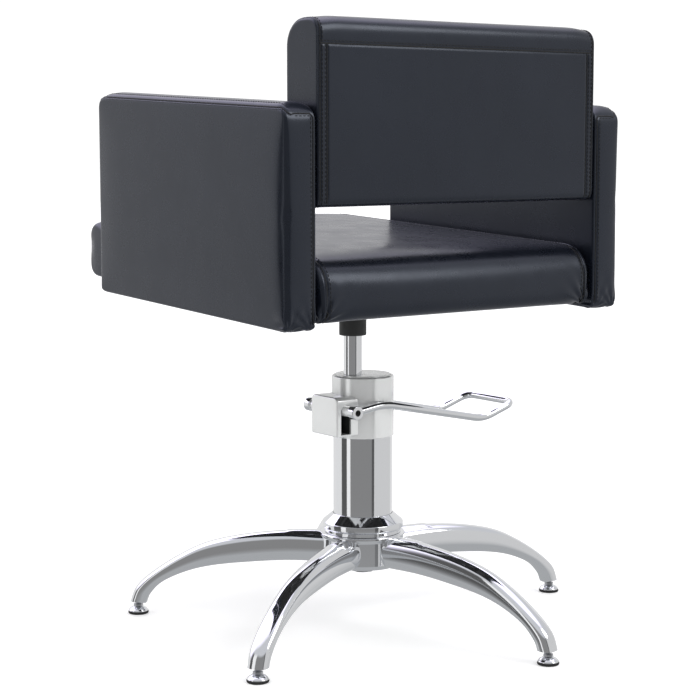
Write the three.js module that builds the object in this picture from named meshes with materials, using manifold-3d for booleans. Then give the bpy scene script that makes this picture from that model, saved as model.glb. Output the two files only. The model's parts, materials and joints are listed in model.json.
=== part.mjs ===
// Styling chair: a five-star chrome base on screw feet, a foot-pumped hydraulic column,
// and an upholstered box seat that turns on the piston rod.
// Millimetres, +Z up. The sitter faces -Y, and +X is the sitter's left-hand side.
// Everything is placed from the axis of the column on the floor; the last lines move the
// finished chair so that its origin is the centre of its bounding box, on the floor.

import * as THREE from 'three';
import { mergeVertices } from 'three/addons/utils/BufferGeometryUtils.js';
import { LoftGeometry } from 'three/addons/geometries/LoftGeometry.js';
import Module from 'manifold-3d';

const wasm = await Module();
wasm.setup();

// ---------------------------------------------------------------- driving dimensions

const GAP = 0.3; // clearance between two pieces that touch
const ROUND = 32; // facets round a large cylinder
const ROUND_SMALL = 14; // facets round a pin, a bolt or a foot

const FOOT_CIRCLE = 312.6; // radius of the circle through the five feet
const FIRST_LEG = THREE.MathUtils.degToRad(28.5); // direction of leg 1 from +X
const LEG_COUNT = 5;

const HUB = { radius: 55, rim: 56.7, bottom: 79, floor: 89.4, top: 124 };
const COLLAR = { band: 54.8, lip: 52, rim: 41.5, coneBottom: 138.5, top: 150 };

const PUMP = { radius: 40, wall: 5, top: 256, stud: 11.8, studBottom: 68 };
const HEAD = { radius: 42, top: 338, plate: 37.3, seat: 334.5 };
const HOUSING = { inner: 20, outer: 65, halfWidth: 29, bottom: 261.5, top: 314, corner: 8 };
const SLOT = { width: 16.5, back: -20, bottom: 264, archZ: 298, openFrom: 14 };

const ROD = { x: 17, radius: 12.5, bottom: 150, top: 430 }; // off the column's axis
const SHAFT = { x: 50, z: 296, radius: 7.2, halfLength: 43.2, flat: 5.2 };
const PEDAL = { bar: 5, armY: 49.5, boss: 9.25, bossEnd: 55, bend: 16 };
const PLUNGER = { y: 8, radius: 5.5, bottom: 272, gap: 0.4 };

const TILT = THREE.MathUtils.degToRad(2.63); // the seat and the arms rise to the front
const RISE = Math.tan(TILT);
const REAR = 226; // rear faces of the seat and the back
const SEAT = { front: -314, underRear: 437, thick: 80.4, half: 220, roll: 45, nose: 24 };
const BOARD = { halfX: 196, front: -280, rear: 196, thick: 12 };
const BACK = { front: 160, bottom: 574, top: 795, half: 221.5, shoulder: 32 };
const BACK_BOARD = { front: 198, rear: 213, inset: 14 };
const ARM = { inner: 223.7, outer: 267.7, rear: 225, front: -206, underRear: 430.6, high: 258.4 };

// ---------------------------------------------------------------- materials

const finish = (color, roughness, metalness) =>
  new THREE.MeshStandardMaterial({ color, roughness, metalness });

const CHROME = () => finish(0xd9dcdf, 0.08, 1);
const SATIN = () => finish(0xcfd2d4, 0.28, 1);
const STEEL = () => finish(0x9da1a6, 0.4, 1);
const LEATHERETTE = () => finish(0x1d1f24, 0.42, 0);
const BLACK = () => finish(0x1c1d1d, 0.55, 0);
const RUBBER = () => finish(0x141414, 0.8, 0);
const PLYWOOD = () => finish(0xb6905f, 0.7, 0);

// ---------------------------------------------------------------- solids

// A closed three.js geometry becomes a solid: shared vertices merged, faces pointing out.
function solid(geometry) {
  const bare = new THREE.BufferGeometry();
  bare.setAttribute('position', geometry.attributes.position);
  bare.setIndex(geometry.index);
  const merged = mergeVertices(bare, 1e-4);
  const position = merged.attributes.position;
  const corners = [0, 1, 2].map(() => new THREE.Vector3());
  const triangles = [];
  let volume = 0;
  for (let i = 0; i < merged.index.count; i += 3) {
    const ids = [0, 1, 2].map((k) => merged.index.getX(i + k));
    if (new Set(ids).size < 3) continue; // a sliver where the profile meets the axis
    ids.forEach((id, k) => corners[k].fromBufferAttribute(position, id));
    volume += corners[0].dot(corners[1].clone().cross(corners[2]));
    triangles.push(ids);
  }
  const outward = volume > 0 ? triangles : triangles.map(([a, b, c]) => [a, c, b]);
  return new wasm.Manifold(new wasm.Mesh({
    numProp: 3,
    vertProperties: new Float32Array(position.array),
    triVerts: new Uint32Array(outward.flat()),
  }));
}

function geometryOf(shape) {
  const { vertProperties, triVerts } = shape.getMesh();
  const geometry = new THREE.BufferGeometry();
  geometry.setAttribute('position', new THREE.BufferAttribute(vertProperties, 3));
  geometry.setIndex(new THREE.BufferAttribute(triVerts, 1));
  geometry.computeVertexNormals();
  return geometry;
}

function piece(group, name, shape, material) {
  const mesh = new THREE.Mesh(geometryOf(shape), material);
  mesh.name = name;
  group.add(mesh);
  return mesh;
}

// A profile of [radius, z] points turned round the Z axis, then moved to (x, y).
function turned(profile, { x = 0, y = 0, facets = ROUND } = {}) {
  const points = profile.map(([r, z]) => new THREE.Vector2(r, z));
  const geometry = new THREE.LatheGeometry(points, facets);
  return solid(geometry.rotateX(Math.PI / 2).translate(x, y, 0));
}

// A washer-like ring between two heights.
const ring = (inner, outer, bottom, top, options) => turned(
  [[inner, bottom], [outer, bottom], [outer, top], [inner, top], [inner, bottom]], options);

const disc = (radius, bottom, top, options) => turned(
  [[0, bottom], [radius, bottom], [radius, top], [0, top]], options);

// A round bar along X or Y between two stations on that axis.
function bar(axis, radius, from, to, centre, facets = ROUND_SMALL) {
  const geometry = new THREE.CylinderGeometry(radius, radius, to - from, facets);
  const middle = (from + to) / 2;
  if (axis === 'x') geometry.rotateZ(Math.PI / 2).translate(middle, centre.y, centre.z);
  else geometry.translate(centre.x, middle, centre.z);
  return solid(geometry);
}

function hexagon(acrossCorners, bottom, top, { x = 0, y = 0 } = {}) {
  const geometry = new THREE.CylinderGeometry(
    acrossCorners / 2, acrossCorners / 2, top - bottom, 6);
  return solid(geometry.rotateX(Math.PI / 2).translate(x, y, (bottom + top) / 2));
}

function block([x0, x1], [y0, y1], [z0, z1]) {
  const geometry = new THREE.BoxGeometry(x1 - x0, y1 - y0, z1 - z0);
  return solid(geometry.translate((x0 + x1) / 2, (y0 + y1) / 2, (z0 + z1) / 2));
}

// A closed outline of [x, y, corner radius] points.
function rounded(corners) {
  const shape = new THREE.Shape();
  corners.forEach(([x, y, radius], i) => {
    const corner = new THREE.Vector2(x, y);
    const [bx, by] = corners.at(i - 1);
    const [ax, ay] = corners[(i + 1) % corners.length];
    const start = new THREE.Vector2(bx, by).sub(corner).setLength(radius).add(corner);
    const end = new THREE.Vector2(ax, ay).sub(corner).setLength(radius).add(corner);
    if (i === 0) shape.moveTo(start.x, start.y);
    else shape.lineTo(start.x, start.y);
    shape.quadraticCurveTo(corner.x, corner.y, end.x, end.y);
  });
  shape.closePath();
  return shape;
}

// An outline in the (Y, Z) plane carried along X, with its long edges rounded by `edge`.
function slab(outline, x0, x1, edge, curveSegments = 3) {
  const geometry = new THREE.ExtrudeGeometry(outline, {
    depth: x1 - x0 - 2 * edge,
    bevelEnabled: true,
    bevelThickness: edge,
    bevelSize: edge,
    bevelOffset: -edge,
    bevelSegments: 2,
    curveSegments,
  });
  const toYZ = new THREE.Matrix4().makeBasis(
    new THREE.Vector3(0, 1, 0), new THREE.Vector3(0, 0, 1), new THREE.Vector3(1, 0, 0));
  return solid(geometry.applyMatrix4(toYZ).translate(x0 + edge, 0, 0));
}

// A flat round plate whose hole is off its centre by `holeX`.
function pierced(radius, hole, holeX, bottom, top) {
  return disc(radius, bottom, top).subtract(disc(hole, bottom - 1, top + 1, { x: holeX }));
}

// ---------------------------------------------------------------- five-star base

// Stations down a leg: [distance out, height, half depth, half width] of its middle.
const LEG_STATIONS = [
  [48, 101.5, 21, 20], [105, 101, 20.5, 17.5], [162, 95.5, 19.3, 15.5],
  [211, 86.5, 16.5, 14.5], [249, 72.5, 12.5, 14], [283, 53.5, 9.8, 14],
  [304, 34, 10.8, 13.6], [311.5, 17.5, 11, 13],
];
const LEG_SECTIONS = 11;
const LEG_FACETS = 14;
const LEG_SQUARENESS = 2.6; // 2 would be an oval

function legSections() {
  const middle = new THREE.CatmullRomCurve3(
    LEG_STATIONS.map(([out, z]) => new THREE.Vector3(out, 0, z)));
  const halves = new THREE.CatmullRomCurve3(
    LEG_STATIONS.map(([, , deep, wide]) => new THREE.Vector3(deep, wide, 0)));
  const squared = (v) => Math.sign(v) * Math.abs(v) ** (2 / LEG_SQUARENESS);
  const sections = [];
  for (let i = 0; i <= LEG_SECTIONS; i++) {
    const t = i / LEG_SECTIONS;
    const centre = middle.getPoint(t);
    const half = halves.getPoint(t);
    const along = i === LEG_SECTIONS ? new THREE.Vector3(0, 0, -1) : middle.getTangent(t);
    const up = new THREE.Vector3(-along.z, 0, along.x);
    const section = [];
    for (let k = 0; k < LEG_FACETS; k++) {
      const angle = (2 * Math.PI * (k + 0.5)) / LEG_FACETS;
      section.push(centre.clone()
        .addScaledVector(up, half.x * squared(Math.sin(angle)))
        .add(new THREE.Vector3(0, half.y * squared(Math.cos(angle)), 0)));
    }
    sections.push(section);
  }
  return sections;
}

const FOOT = { pad: 14, padTop: 3, stem: 3.5, stemTop: 27.7, socket: 3.8, socketTop: 31 };

function legShape() {
  const hubRoom = turned([
    [0, 60], [HUB.radius + GAP, 60], [HUB.radius + GAP, HUB.top - 6.5],
    [HUB.rim + GAP, HUB.top - 4], [HUB.rim + GAP, HUB.top + 10], [0, HUB.top + 10],
  ]);
  const footSocket = disc(
    FOOT.socket, 0, FOOT.socketTop, { x: FOOT_CIRCLE, facets: ROUND_SMALL });
  return solid(new LoftGeometry(legSections(), { capStart: true, capEnd: true }))
    .subtract(hubRoom)
    .subtract(footSocket);
}

function screwFoot(star, number) {
  const at = { x: FOOT_CIRCLE, facets: 18 };
  const { pad, padTop, stem, stemTop } = FOOT;
  piece(star, `foot_pad_${number}`, turned(
    [[0, 0], [pad, 0], [pad, padTop], [0, padTop]], at), RUBBER());
  const domeBottom = padTop + GAP;
  const hole = stem + GAP;
  piece(star, `foot_dome_${number}`, turned([
    [hole, domeBottom], [pad - 0.4, domeBottom], [pad - 1.6, 6.2],
    [pad - 4.5, 8.2], [hole, 9.6], [hole, domeBottom],
  ], at), CHROME());
  const shank = disc(stem, domeBottom, stemTop, at);
  const flange = hexagon(13, 9.9, 13.2, at);
  piece(star, `foot_stem_${number}`, shank.add(flange), STEEL());
}

function base() {
  const group = new THREE.Group();
  piece(group, 'base_hub', turned([
    [PUMP.stud + 0.7, HUB.bottom], [HUB.radius - 5, HUB.bottom],
    [HUB.radius, HUB.bottom + 5], [HUB.radius, HUB.top - 6], [HUB.rim, HUB.top - 3.5],
    [HUB.rim, HUB.top - 1.2], [HUB.rim - 1.2, HUB.top], [PUMP.radius + 0.4, HUB.top],
    [PUMP.radius + 0.4, HUB.floor - GAP], [PUMP.stud + 0.7, HUB.floor - GAP],
    [PUMP.stud + 0.7, HUB.bottom],
  ]), CHROME());
  const collarBottom = HUB.top + GAP;
  const collarBore = PUMP.radius + 0.4;
  piece(group, 'base_collar', turned([
    [collarBore, collarBottom], [COLLAR.lip, collarBottom], [COLLAR.lip, 129.5],
    [COLLAR.band, 131], [COLLAR.band, COLLAR.coneBottom], [COLLAR.rim, COLLAR.top],
    [collarBore, COLLAR.top], [collarBore, collarBottom],
  ]), CHROME());
  const leg = legShape();
  for (let i = 0; i < LEG_COUNT; i++) {
    const star = new THREE.Group();
    star.rotation.z = FIRST_LEG + (i * 2 * Math.PI) / LEG_COUNT;
    piece(star, `base_leg_${i + 1}`, leg, CHROME());
    screwFoot(star, i + 1);
    group.add(star);
  }
  const flange = disc(27, 75, HUB.bottom - GAP);
  const nut = hexagon(38, 70, 76).add(flange).subtract(disc(PUMP.stud + 0.5, 60, 80));
  piece(group, 'base_nut', nut, STEEL());
  return group;
}

// ---------------------------------------------------------------- hydraulic pump

function pumpHead() {
  const { radius, top, plate, seat } = HEAD;
  const barrel = turned([
    [0, PUMP.top + GAP], [radius, PUMP.top + GAP], [radius, top - 2.5],
    [radius - 0.8, top - 0.8], [radius - 2.5, top], [0, top],
  ]);
  const { inner, outer, halfWidth, bottom, corner } = HOUSING;
  const housing = slab(rounded([
    [-halfWidth, bottom, 3], [halfWidth, bottom, 3],
    [halfWidth, HOUSING.top, corner], [-halfWidth, HOUSING.top, corner],
  ]), inner, outer, 2);
  const slotHalf = SLOT.width / 2;
  const mouth = halfWidth + 10;
  const slot = block([SHAFT.x - slotHalf, SHAFT.x + slotHalf], [SLOT.back, mouth],
    [SLOT.bottom, SLOT.archZ])
    .add(bar('y', slotHalf, SLOT.back, mouth, { x: SHAFT.x, z: SLOT.archZ }))
    .add(block([SHAFT.x - slotHalf, SHAFT.x + slotHalf], [SLOT.openFrom, mouth],
      [bottom - 5, SLOT.archZ]));
  const shaftBore = bar('y', SHAFT.radius + 0.5, -halfWidth - 5, 0, SHAFT);
  return barrel.add(housing)
    .subtract(disc(plate + GAP, seat, top + 5))
    .subtract(disc(ROD.radius + 0.4, 200, top + 5, { x: ROD.x }))
    .subtract(slot)
    .subtract(shaftBore);
}

// A socket screw set low in the head, on a radius of the column.
const HEAD_SCREW = { angle: THREE.MathUtils.degToRad(109.4), z: 270, radius: 3 };

function headScrewShape(radius, inner, outer) {
  const along = new THREE.CylinderGeometry(radius, radius, outer - inner, ROUND_SMALL)
    .rotateZ(Math.PI / 2)
    .translate((inner + outer) / 2, 0, HEAD_SCREW.z)
    .rotateZ(HEAD_SCREW.angle);
  return solid(along);
}

function pump() {
  const group = new THREE.Group();
  const { radius, wall, top, stud, studBottom } = PUMP;
  const bore = radius - wall;
  piece(group, 'pump_cylinder', turned([
    [0, studBottom], [stud, studBottom], [stud, HUB.floor], [radius - 0.5, HUB.floor],
    [radius, HUB.floor + 0.5], [radius, top], [bore, top], [bore, HUB.floor + 7],
    [0, HUB.floor + 7],
  ]), CHROME());
  const screwHole = headScrewShape(HEAD_SCREW.radius + GAP, 33, 50);
  piece(group, 'pump_head', pumpHead().subtract(screwHole), SATIN());
  piece(group, 'head_screw', headScrewShape(HEAD_SCREW.radius, 33.5, 41.2), STEEL());
  const sealHole = ROD.radius + 4;
  const plateBottom = HEAD.seat + GAP;
  piece(group, 'head_plate',
    pierced(HEAD.plate, sealHole + GAP, ROD.x, plateBottom, HEAD.top + 1.5), SATIN());
  piece(group, 'rod_gland',
    ring(ROD.radius + 0.4, sealHole, plateBottom, HEAD.top + 1.5, { x: ROD.x }), SATIN());
  piece(group, 'plunger_spring', ring(3.2, PLUNGER.radius - 0.1, SLOT.bottom + GAP,
    PLUNGER.bottom - GAP, { x: SHAFT.x, y: PLUNGER.y, facets: ROUND_SMALL }), STEEL());
  return group;
}

// The piston rod and what it carries inside the cylinder; it rises and sinks.
function ram() {
  const group = new THREE.Group();
  const { x, radius, bottom, top } = ROD;
  piece(group, 'piston_rod', turned([
    [0, bottom], [radius, bottom], [radius, top - 1], [radius - 1, top], [0, top],
  ], { x }), CHROME());
  const inside = PUMP.radius - PUMP.wall - 0.5;
  const hole = radius + GAP;
  piece(group, 'piston_head', pierced(inside, hole, x, bottom + 1, bottom + 15), STEEL());
  return group;
}

// ---------------------------------------------------------------- foot pedal

// A path of straight runs with its corners rounded by `radius`.
function bentPath(points, radius) {
  const path = new THREE.CurvePath();
  let from = points[0];
  points.slice(1, -1).forEach((corner, i) => {
    const next = points[i + 2];
    const reach = (to) => Math.min(radius, corner.distanceTo(to) / 2);
    const start = from.clone().sub(corner).setLength(reach(points[i])).add(corner);
    const end = next.clone().sub(corner).setLength(reach(next)).add(corner);
    path.add(new THREE.LineCurve3(from, start));
    path.add(new THREE.QuadraticBezierCurve3(start, corner, end));
    from = end;
  });
  path.add(new THREE.LineCurve3(from, points.at(-1)));
  return path;
}

// One arm seen from the side, from the shaft to the upturned end: [x, z].
const PEDAL_ARM = [[SHAFT.x, SHAFT.z], [2, 303], [-172, 267.5], [-229, 286]];
const PEDAL_STEPS = 48;

function pedalBar() {
  const { bar: thick, armY, boss, bossEnd, bend } = PEDAL;
  const near = PEDAL_ARM.map(([x, z]) => new THREE.Vector3(x, armY, z));
  const far = PEDAL_ARM.map(([x, z]) => new THREE.Vector3(x, -armY, z)).reverse();
  const section = new THREE.Shape().absarc(0, 0, thick, 0, 2 * Math.PI);
  let shape = solid(new THREE.ExtrudeGeometry(section, {
    extrudePath: bentPath([...near, ...far], bend),
    steps: PEDAL_STEPS,
    curveSegments: 4,
  }));
  for (const side of [-1, 1]) {
    const ends = [side * (SHAFT.halfLength + GAP), side * bossEnd].sort((a, b) => a - b);
    shape = shape.add(bar('y', boss, ...ends, SHAFT, 18));
  }
  return shape
    .subtract(bar('y', boss, -SHAFT.halfLength - GAP, SHAFT.halfLength + GAP, SHAFT, 18))
    .subtract(bar('y', 4.3, -70, 70, SHAFT));
}

// A set screw in the end of the shaft, with a hexagonal key socket in its outer end.
function shaftScrew() {
  const key = new THREE.CylinderGeometry(2.6, 2.6, 6, 6).translate(SHAFT.x, 53, SHAFT.z);
  return bar('y', 4, SHAFT.halfLength + 2 * GAP, 52.5, SHAFT).subtract(solid(key));
}

// A domed button that closes the shaft's other end.
function shaftButton() {
  const profile = [[0, 0], [6.4, 0], [6.4, 1.8], [5.2, 4.2], [2.8, 5.6], [0, 6]];
  const dome = new THREE.LatheGeometry(
    profile.map(([r, out]) => new THREE.Vector2(r, -out)), ROUND_SMALL);
  const end = -PEDAL.bossEnd - GAP;
  return solid(dome.translate(SHAFT.x, end, SHAFT.z))
    .add(bar('y', 4, end - 1, -SHAFT.halfLength - 2 * GAP, SHAFT));
}

function pedal() {
  const group = new THREE.Group();
  piece(group, 'pedal_bar', pedalBar(), CHROME());
  const { x, z, radius, halfLength, flat } = SHAFT;
  const milled = block([x - 10, x + 10], [-6, 22], [z - 12, z - flat]);
  piece(group, 'pedal_shaft',
    bar('y', radius, -halfLength, halfLength, SHAFT).subtract(milled), SATIN());
  piece(group, 'shaft_screw', shaftScrew(), BLACK());
  piece(group, 'shaft_button', shaftButton(), CHROME());
  const plungerTop = z - flat - PLUNGER.gap;
  piece(group, 'pump_plunger', turned([
    [0, PLUNGER.bottom], [PLUNGER.radius, PLUNGER.bottom],
    [PLUNGER.radius, plungerTop - 1], [PLUNGER.radius - 1, plungerTop], [0, plungerTop],
  ], { x, y: PLUNGER.y, facets: ROUND_SMALL }), STEEL());
  return group;
}

// ---------------------------------------------------------------- seat and mechanism

// Heights on the tilted planes of the seat and the arms, at station y.
const onTilt = (heightAtRear, y) => heightAtRear + (REAR - y) * RISE;
const under = (y) => onTilt(SEAT.underRear, y);

// Carries a solid made level, with its top at z = 0, up under the tilted seat.
function underSeat(geometry) {
  return solid(geometry
    .rotateX(-TILT)
    .translate(ROD.x, 0, under(0)));
}

const levelBox = ([x0, x1], [y0, y1], [z0, z1]) => new THREE.BoxGeometry(
  x1 - x0, y1 - y0, z1 - z0).translate((x0 + x1) / 2, (y0 + y1) / 2, (z0 + z1) / 2);

const levelPin = (radius, x, y, z0, z1) => new THREE.CylinderGeometry(
  radius, radius, z1 - z0, ROUND_SMALL).rotateX(Math.PI / 2).translate(x, y, (z0 + z1) / 2);

const PLATE = { halfX: 100, halfY: 95, thick: 5 };
const RAIL = { y: 150, halfY: 20, thick: 4, reach: 254 };
const NOTCH = { reach: 256, rise: 0.3 };
const SEAT_BOLTS = [[-80, -75], [80, -75], [-80, 75], [80, 75]];
const BOLT = { shank: 3.9, hole: 4.3, head: 7 };

function boardShape(extra) {
  return levelBox([-BOARD.halfX - extra, BOARD.halfX + extra],
    [BOARD.front - extra, BOARD.rear + extra], [-extra * 20, BOARD.thick + extra]);
}

function seatCushion() {
  const { front, underRear, thick, half, roll, nose } = SEAT;
  const topRear = underRear + thick;
  const outline = rounded([
    [REAR, underRear, 18], [REAR, topRear, roll],
    [front, onTilt(topRear, front), nose], [front, under(front), nose],
  ]);
  return slab(outline, ROD.x - half, ROD.x + half, 10, 5)
    .subtract(underSeat(boardShape(GAP)));
}

function mechanism() {
  const group = new THREE.Group();
  const { x, radius, top } = ROD;
  const socketTop = 440.7;
  piece(group, 'rod_socket', turned([
    [radius + 0.4, 396], [16.2, 396], [16.2, socketTop], [0, socketTop], [0, top + 0.5],
    [radius + 0.4, top + 0.5], [radius + 0.4, 396],
  ], { x }), STEEL());
  piece(group, 'rod_cap', turned([
    [radius + 0.4, 392.5], [17.8, 392.5], [18.3, 393], [18.3, 426], [16.5, 426],
    [16.5, 395.7], [radius + 0.4, 395.7], [radius + 0.4, 392.5],
  ], { x }), BLACK());
  const { halfX, halfY, thick } = PLATE;
  let plate = underSeat(levelBox([-halfX, halfX], [-halfY, halfY], [-thick - GAP, -GAP]));
  let board = underSeat(boardShape(0));
  SEAT_BOLTS.forEach(([bx, by], i) => {
    const hole = underSeat(levelPin(BOLT.hole, bx, by, -20, BOARD.thick - 2));
    plate = plate.subtract(hole);
    board = board.subtract(hole);
    const bolt = underSeat(levelPin(BOLT.shank, bx, by, -thick - 2, BOARD.thick - 3))
      .add(underSeat(levelPin(BOLT.head, bx, by, -thick - 4.6, -thick - 2 * GAP)));
    piece(group, `seat_bolt_${i + 1}`, bolt, STEEL());
  });
  piece(group, 'seat_plate', plate, BLACK());
  piece(group, 'seat_board', board, PLYWOOD());
  return group;
}

// ---------------------------------------------------------------- arms and back

// Flat steel bars under the seat; their ends lie in notches in the arms' undersides.
function armRails(group) {
  const { y, halfY, thick, reach } = RAIL;
  for (const [name, side] of [['front', -1], ['rear', 1]]) {
    const rail = levelBox([-reach, reach], [side * y - halfY, side * y + halfY],
      [-thick - GAP, -GAP]);
    let shape = underSeat(rail);
    for (const [hand, end] of [['left', 1], ['right', -1]]) {
      const boltX = end * 240;
      shape = shape.subtract(underSeat(levelPin(BOLT.hole, boltX, side * y, -20, 10)));
      const bolt = underSeat(levelPin(BOLT.shank, boltX, side * y, -thick - 1, 34))
        .add(underSeat(levelPin(BOLT.head, boltX, side * y, -thick - 2.1, -thick - 2 * GAP)));
      piece(group, `arm_bolt_${hand}_${name}`, bolt, STEEL());
    }
    piece(group, `arm_rail_${name}`, shape, BLACK());
  }
}

// Steel pins that hold the back between the arms: station and two heights.
const BACK_PIN = { y: 205.5, heights: [608, 656], radius: 4, arm: 252, board: 172 };

function backPins(radius, shorten) {
  const pins = [];
  for (const side of [-1, 1]) {
    for (const z of BACK_PIN.heights) {
      const ends = [side * (BACK_PIN.arm - shorten), side * (BACK_PIN.board + shorten)];
      const [from, to] = ends.map((reach) => ROD.x + reach).sort((a, b) => a - b);
      pins.push(bar('x', radius, from, to, { y: BACK_PIN.y, z }));
    }
  }
  return pins;
}

const drilled = (shape) => backPins(BACK_PIN.radius + GAP, 0)
  .reduce((rest, hole) => rest.subtract(hole), shape);

function arm(side) {
  const { inner, outer, rear, front, underRear, high } = ARM;
  const bottom = (y) => onTilt(underRear, y);
  const outline = rounded([
    [rear, bottom(rear), 11], [rear, bottom(rear) + high, 11],
    [front, bottom(front) + high, 11], [front, bottom(front), 11],
  ]);
  const faces = [side * inner, side * outer].map((reach) => ROD.x + reach);
  let shape = slab(outline, Math.min(...faces), Math.max(...faces), 6);
  for (const end of [-1, 1]) {
    const middle = end * RAIL.y;
    const inward = side * (inner - 10);
    const outward = side * NOTCH.reach;
    const span = [Math.min(inward, outward), Math.max(inward, outward)];
    shape = shape
      .subtract(underSeat(levelBox(span, [middle - RAIL.halfY - 1, middle + RAIL.halfY + 1],
        [-20, NOTCH.rise])))
      .subtract(underSeat(levelPin(BOLT.hole, side * 240, middle, -20, 36)));
  }
  return drilled(shape);
}

function backRest(group) {
  const { front, bottom, top, half, shoulder } = BACK;
  const outline = rounded([
    [front, bottom, 14], [REAR, bottom, 9], [REAR, top, 9], [front, top, shoulder],
  ]);
  const { front: boardFront, rear: boardRear, inset } = BACK_BOARD;
  const sides = [ROD.x - half + inset, ROD.x + half - inset];
  const heights = [bottom + inset, top - 27];
  const pocket = block(sides, [boardFront, REAR + 10], heights);
  const panelRear = REAR - 1;
  piece(group, 'back_cushion',
    drilled(slab(outline, ROD.x - half, ROD.x + half, 5, 4).subtract(pocket)), LEATHERETTE());
  const within = (gap) => [
    [sides[0] + gap, sides[1] - gap],
    [heights[0] + gap, heights[1] - gap],
  ];
  const [boardX, boardZ] = within(1);
  const board = block(boardX, [boardFront + GAP, boardRear - GAP], boardZ);
  piece(group, 'back_board', drilled(board), PLYWOOD());
  const [panelX, panelZ] = within(GAP);
  piece(group, 'back_panel', block(panelX, [boardRear, panelRear], panelZ), LEATHERETTE());
  backPins(BACK_PIN.radius, 1).forEach((pin, i) => {
    piece(group, `back_pin_${i + 1}`, pin, STEEL());
  });
}

function upholstery() {
  const group = new THREE.Group();
  piece(group, 'seat_cushion', seatCushion(), LEATHERETTE());
  piece(group, 'arm_left', arm(1), LEATHERETTE());
  piece(group, 'arm_right', arm(-1), LEATHERETTE());
  armRails(group);
  backRest(group);
  return group;
}

// ---------------------------------------------------------------- the whole chair

const placed = new THREE.Group();
placed.add(base(), pump(), ram(), pedal(), mechanism(), upholstery());
placed.updateMatrixWorld(true);
const extent = new THREE.Box3().setFromObject(placed, true);
const centre = extent.getCenter(new THREE.Vector3());
placed.position.set(-centre.x, -centre.y, -extent.min.z);

const chair = new THREE.Group();
chair.add(placed);

export default chair;
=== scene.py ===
"""Looks of the styling chair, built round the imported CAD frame. Lengths are in metres."""
import json
import math

import bmesh
import bpy
import numpy as np
from mathutils import Matrix, Vector
from mathutils.bvhtree import BVHTree


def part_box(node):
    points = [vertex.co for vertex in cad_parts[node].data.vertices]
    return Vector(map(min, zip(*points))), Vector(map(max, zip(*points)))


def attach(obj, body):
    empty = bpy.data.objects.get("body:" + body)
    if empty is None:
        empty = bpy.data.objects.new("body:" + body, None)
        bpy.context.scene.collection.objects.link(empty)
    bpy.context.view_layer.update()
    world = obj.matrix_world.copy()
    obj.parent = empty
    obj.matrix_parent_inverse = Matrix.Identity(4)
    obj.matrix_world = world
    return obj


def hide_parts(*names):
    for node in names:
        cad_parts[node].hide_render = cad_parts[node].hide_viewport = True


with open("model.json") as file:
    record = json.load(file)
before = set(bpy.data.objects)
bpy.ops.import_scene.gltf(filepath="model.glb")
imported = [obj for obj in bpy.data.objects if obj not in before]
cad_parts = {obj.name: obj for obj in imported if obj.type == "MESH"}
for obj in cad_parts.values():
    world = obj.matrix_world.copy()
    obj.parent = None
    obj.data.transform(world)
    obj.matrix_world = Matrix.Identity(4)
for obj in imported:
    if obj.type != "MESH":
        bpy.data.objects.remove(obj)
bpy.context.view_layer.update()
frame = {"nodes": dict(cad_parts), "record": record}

MM = 0.001
TAU = 2 * math.pi


# ---------------------------------------------------------------- places from the frame

def low(node):
    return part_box(node)[0]


def high(node):
    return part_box(node)[1]


def middle(node):
    return (low(node) + high(node)) / 2


def radius_of(node):
    return (high(node).x - low(node).x) / 2


COLUMN = middle("pump_cylinder")  # its x and y are the column's axis
ROD = middle("piston_rod")        # the piston rod and the seat turn about this axis
SHAFT_AXIS = (middle("pedal_shaft").x, COLUMN.y, 296 * MM)
LEG_COUNT = 5
TILT = math.tan(math.radians(2.63))  # the seat and the arms rise towards the front

# Holes that two or more pieces share.
ROD_HOLE = 12.9 * MM
STEM_HOLE = 3.8 * MM
HUB_BORE = 40.4 * MM


# ---------------------------------------------------------------- material helpers

def new_material(name, color, roughness, metallic=0.0, **inputs):
    material = bpy.data.materials.new(name)
    material.use_nodes = True
    shader = material.node_tree.nodes["Principled BSDF"]
    shader.inputs["Base Color"].default_value = (*color, 1)
    shader.inputs["Roughness"].default_value = roughness
    shader.inputs["Metallic"].default_value = metallic
    for key, value in inputs.items():
        shader.inputs[key.replace("_", " ")].default_value = value
    return material


def add_node(material, kind, inputs=(), **settings):
    node = material.node_tree.nodes.new(kind)
    for key, value in settings.items():
        setattr(node, key, value)
    for key, value in dict(inputs).items():
        node.inputs[key].default_value = value
    return node


def link(material, out_socket, in_socket):
    material.node_tree.links.new(out_socket, in_socket)


def coordinates(material, scale=(1, 1, 1)):
    place = add_node(material, "ShaderNodeTexCoord")
    mapping = add_node(material, "ShaderNodeMapping", {"Scale": scale})
    link(material, place.outputs["Object"], mapping.inputs["Vector"])
    return mapping.outputs["Vector"]


def noise(material, vector, scale, detail=4.0, roughness=0.55):
    node = add_node(material, "ShaderNodeTexNoise",
                    {"Scale": scale, "Detail": detail, "Roughness": roughness})
    link(material, vector, node.inputs["Vector"])
    return node.outputs["Fac"]


def remap(material, value, to_low, to_high):
    """Spreads a noise, which mostly lies between 0.3 and 0.7, over another range."""
    node = add_node(material, "ShaderNodeMapRange", {
        "From Min": 0.3, "From Max": 0.7, "To Min": to_low, "To Max": to_high})
    link(material, value, node.inputs["Value"])
    return node.outputs["Result"]


def vary_color(material, factor, dark, light):
    ramp = add_node(material, "ShaderNodeMix", data_type="RGBA")
    ramp.inputs["A"].default_value = (*dark, 1)
    ramp.inputs["B"].default_value = (*light, 1)
    link(material, factor, ramp.inputs["Factor"])
    shader = material.node_tree.nodes["Principled BSDF"]
    link(material, ramp.outputs["Result"], shader.inputs["Base Color"])


def bump(material, height, strength, distance, before=None):
    node = add_node(material, "ShaderNodeBump", {"Strength": strength, "Distance": distance})
    link(material, height, node.inputs["Height"])
    if before is not None:
        link(material, before, node.inputs["Normal"])
    return node.outputs["Normal"]


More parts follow.
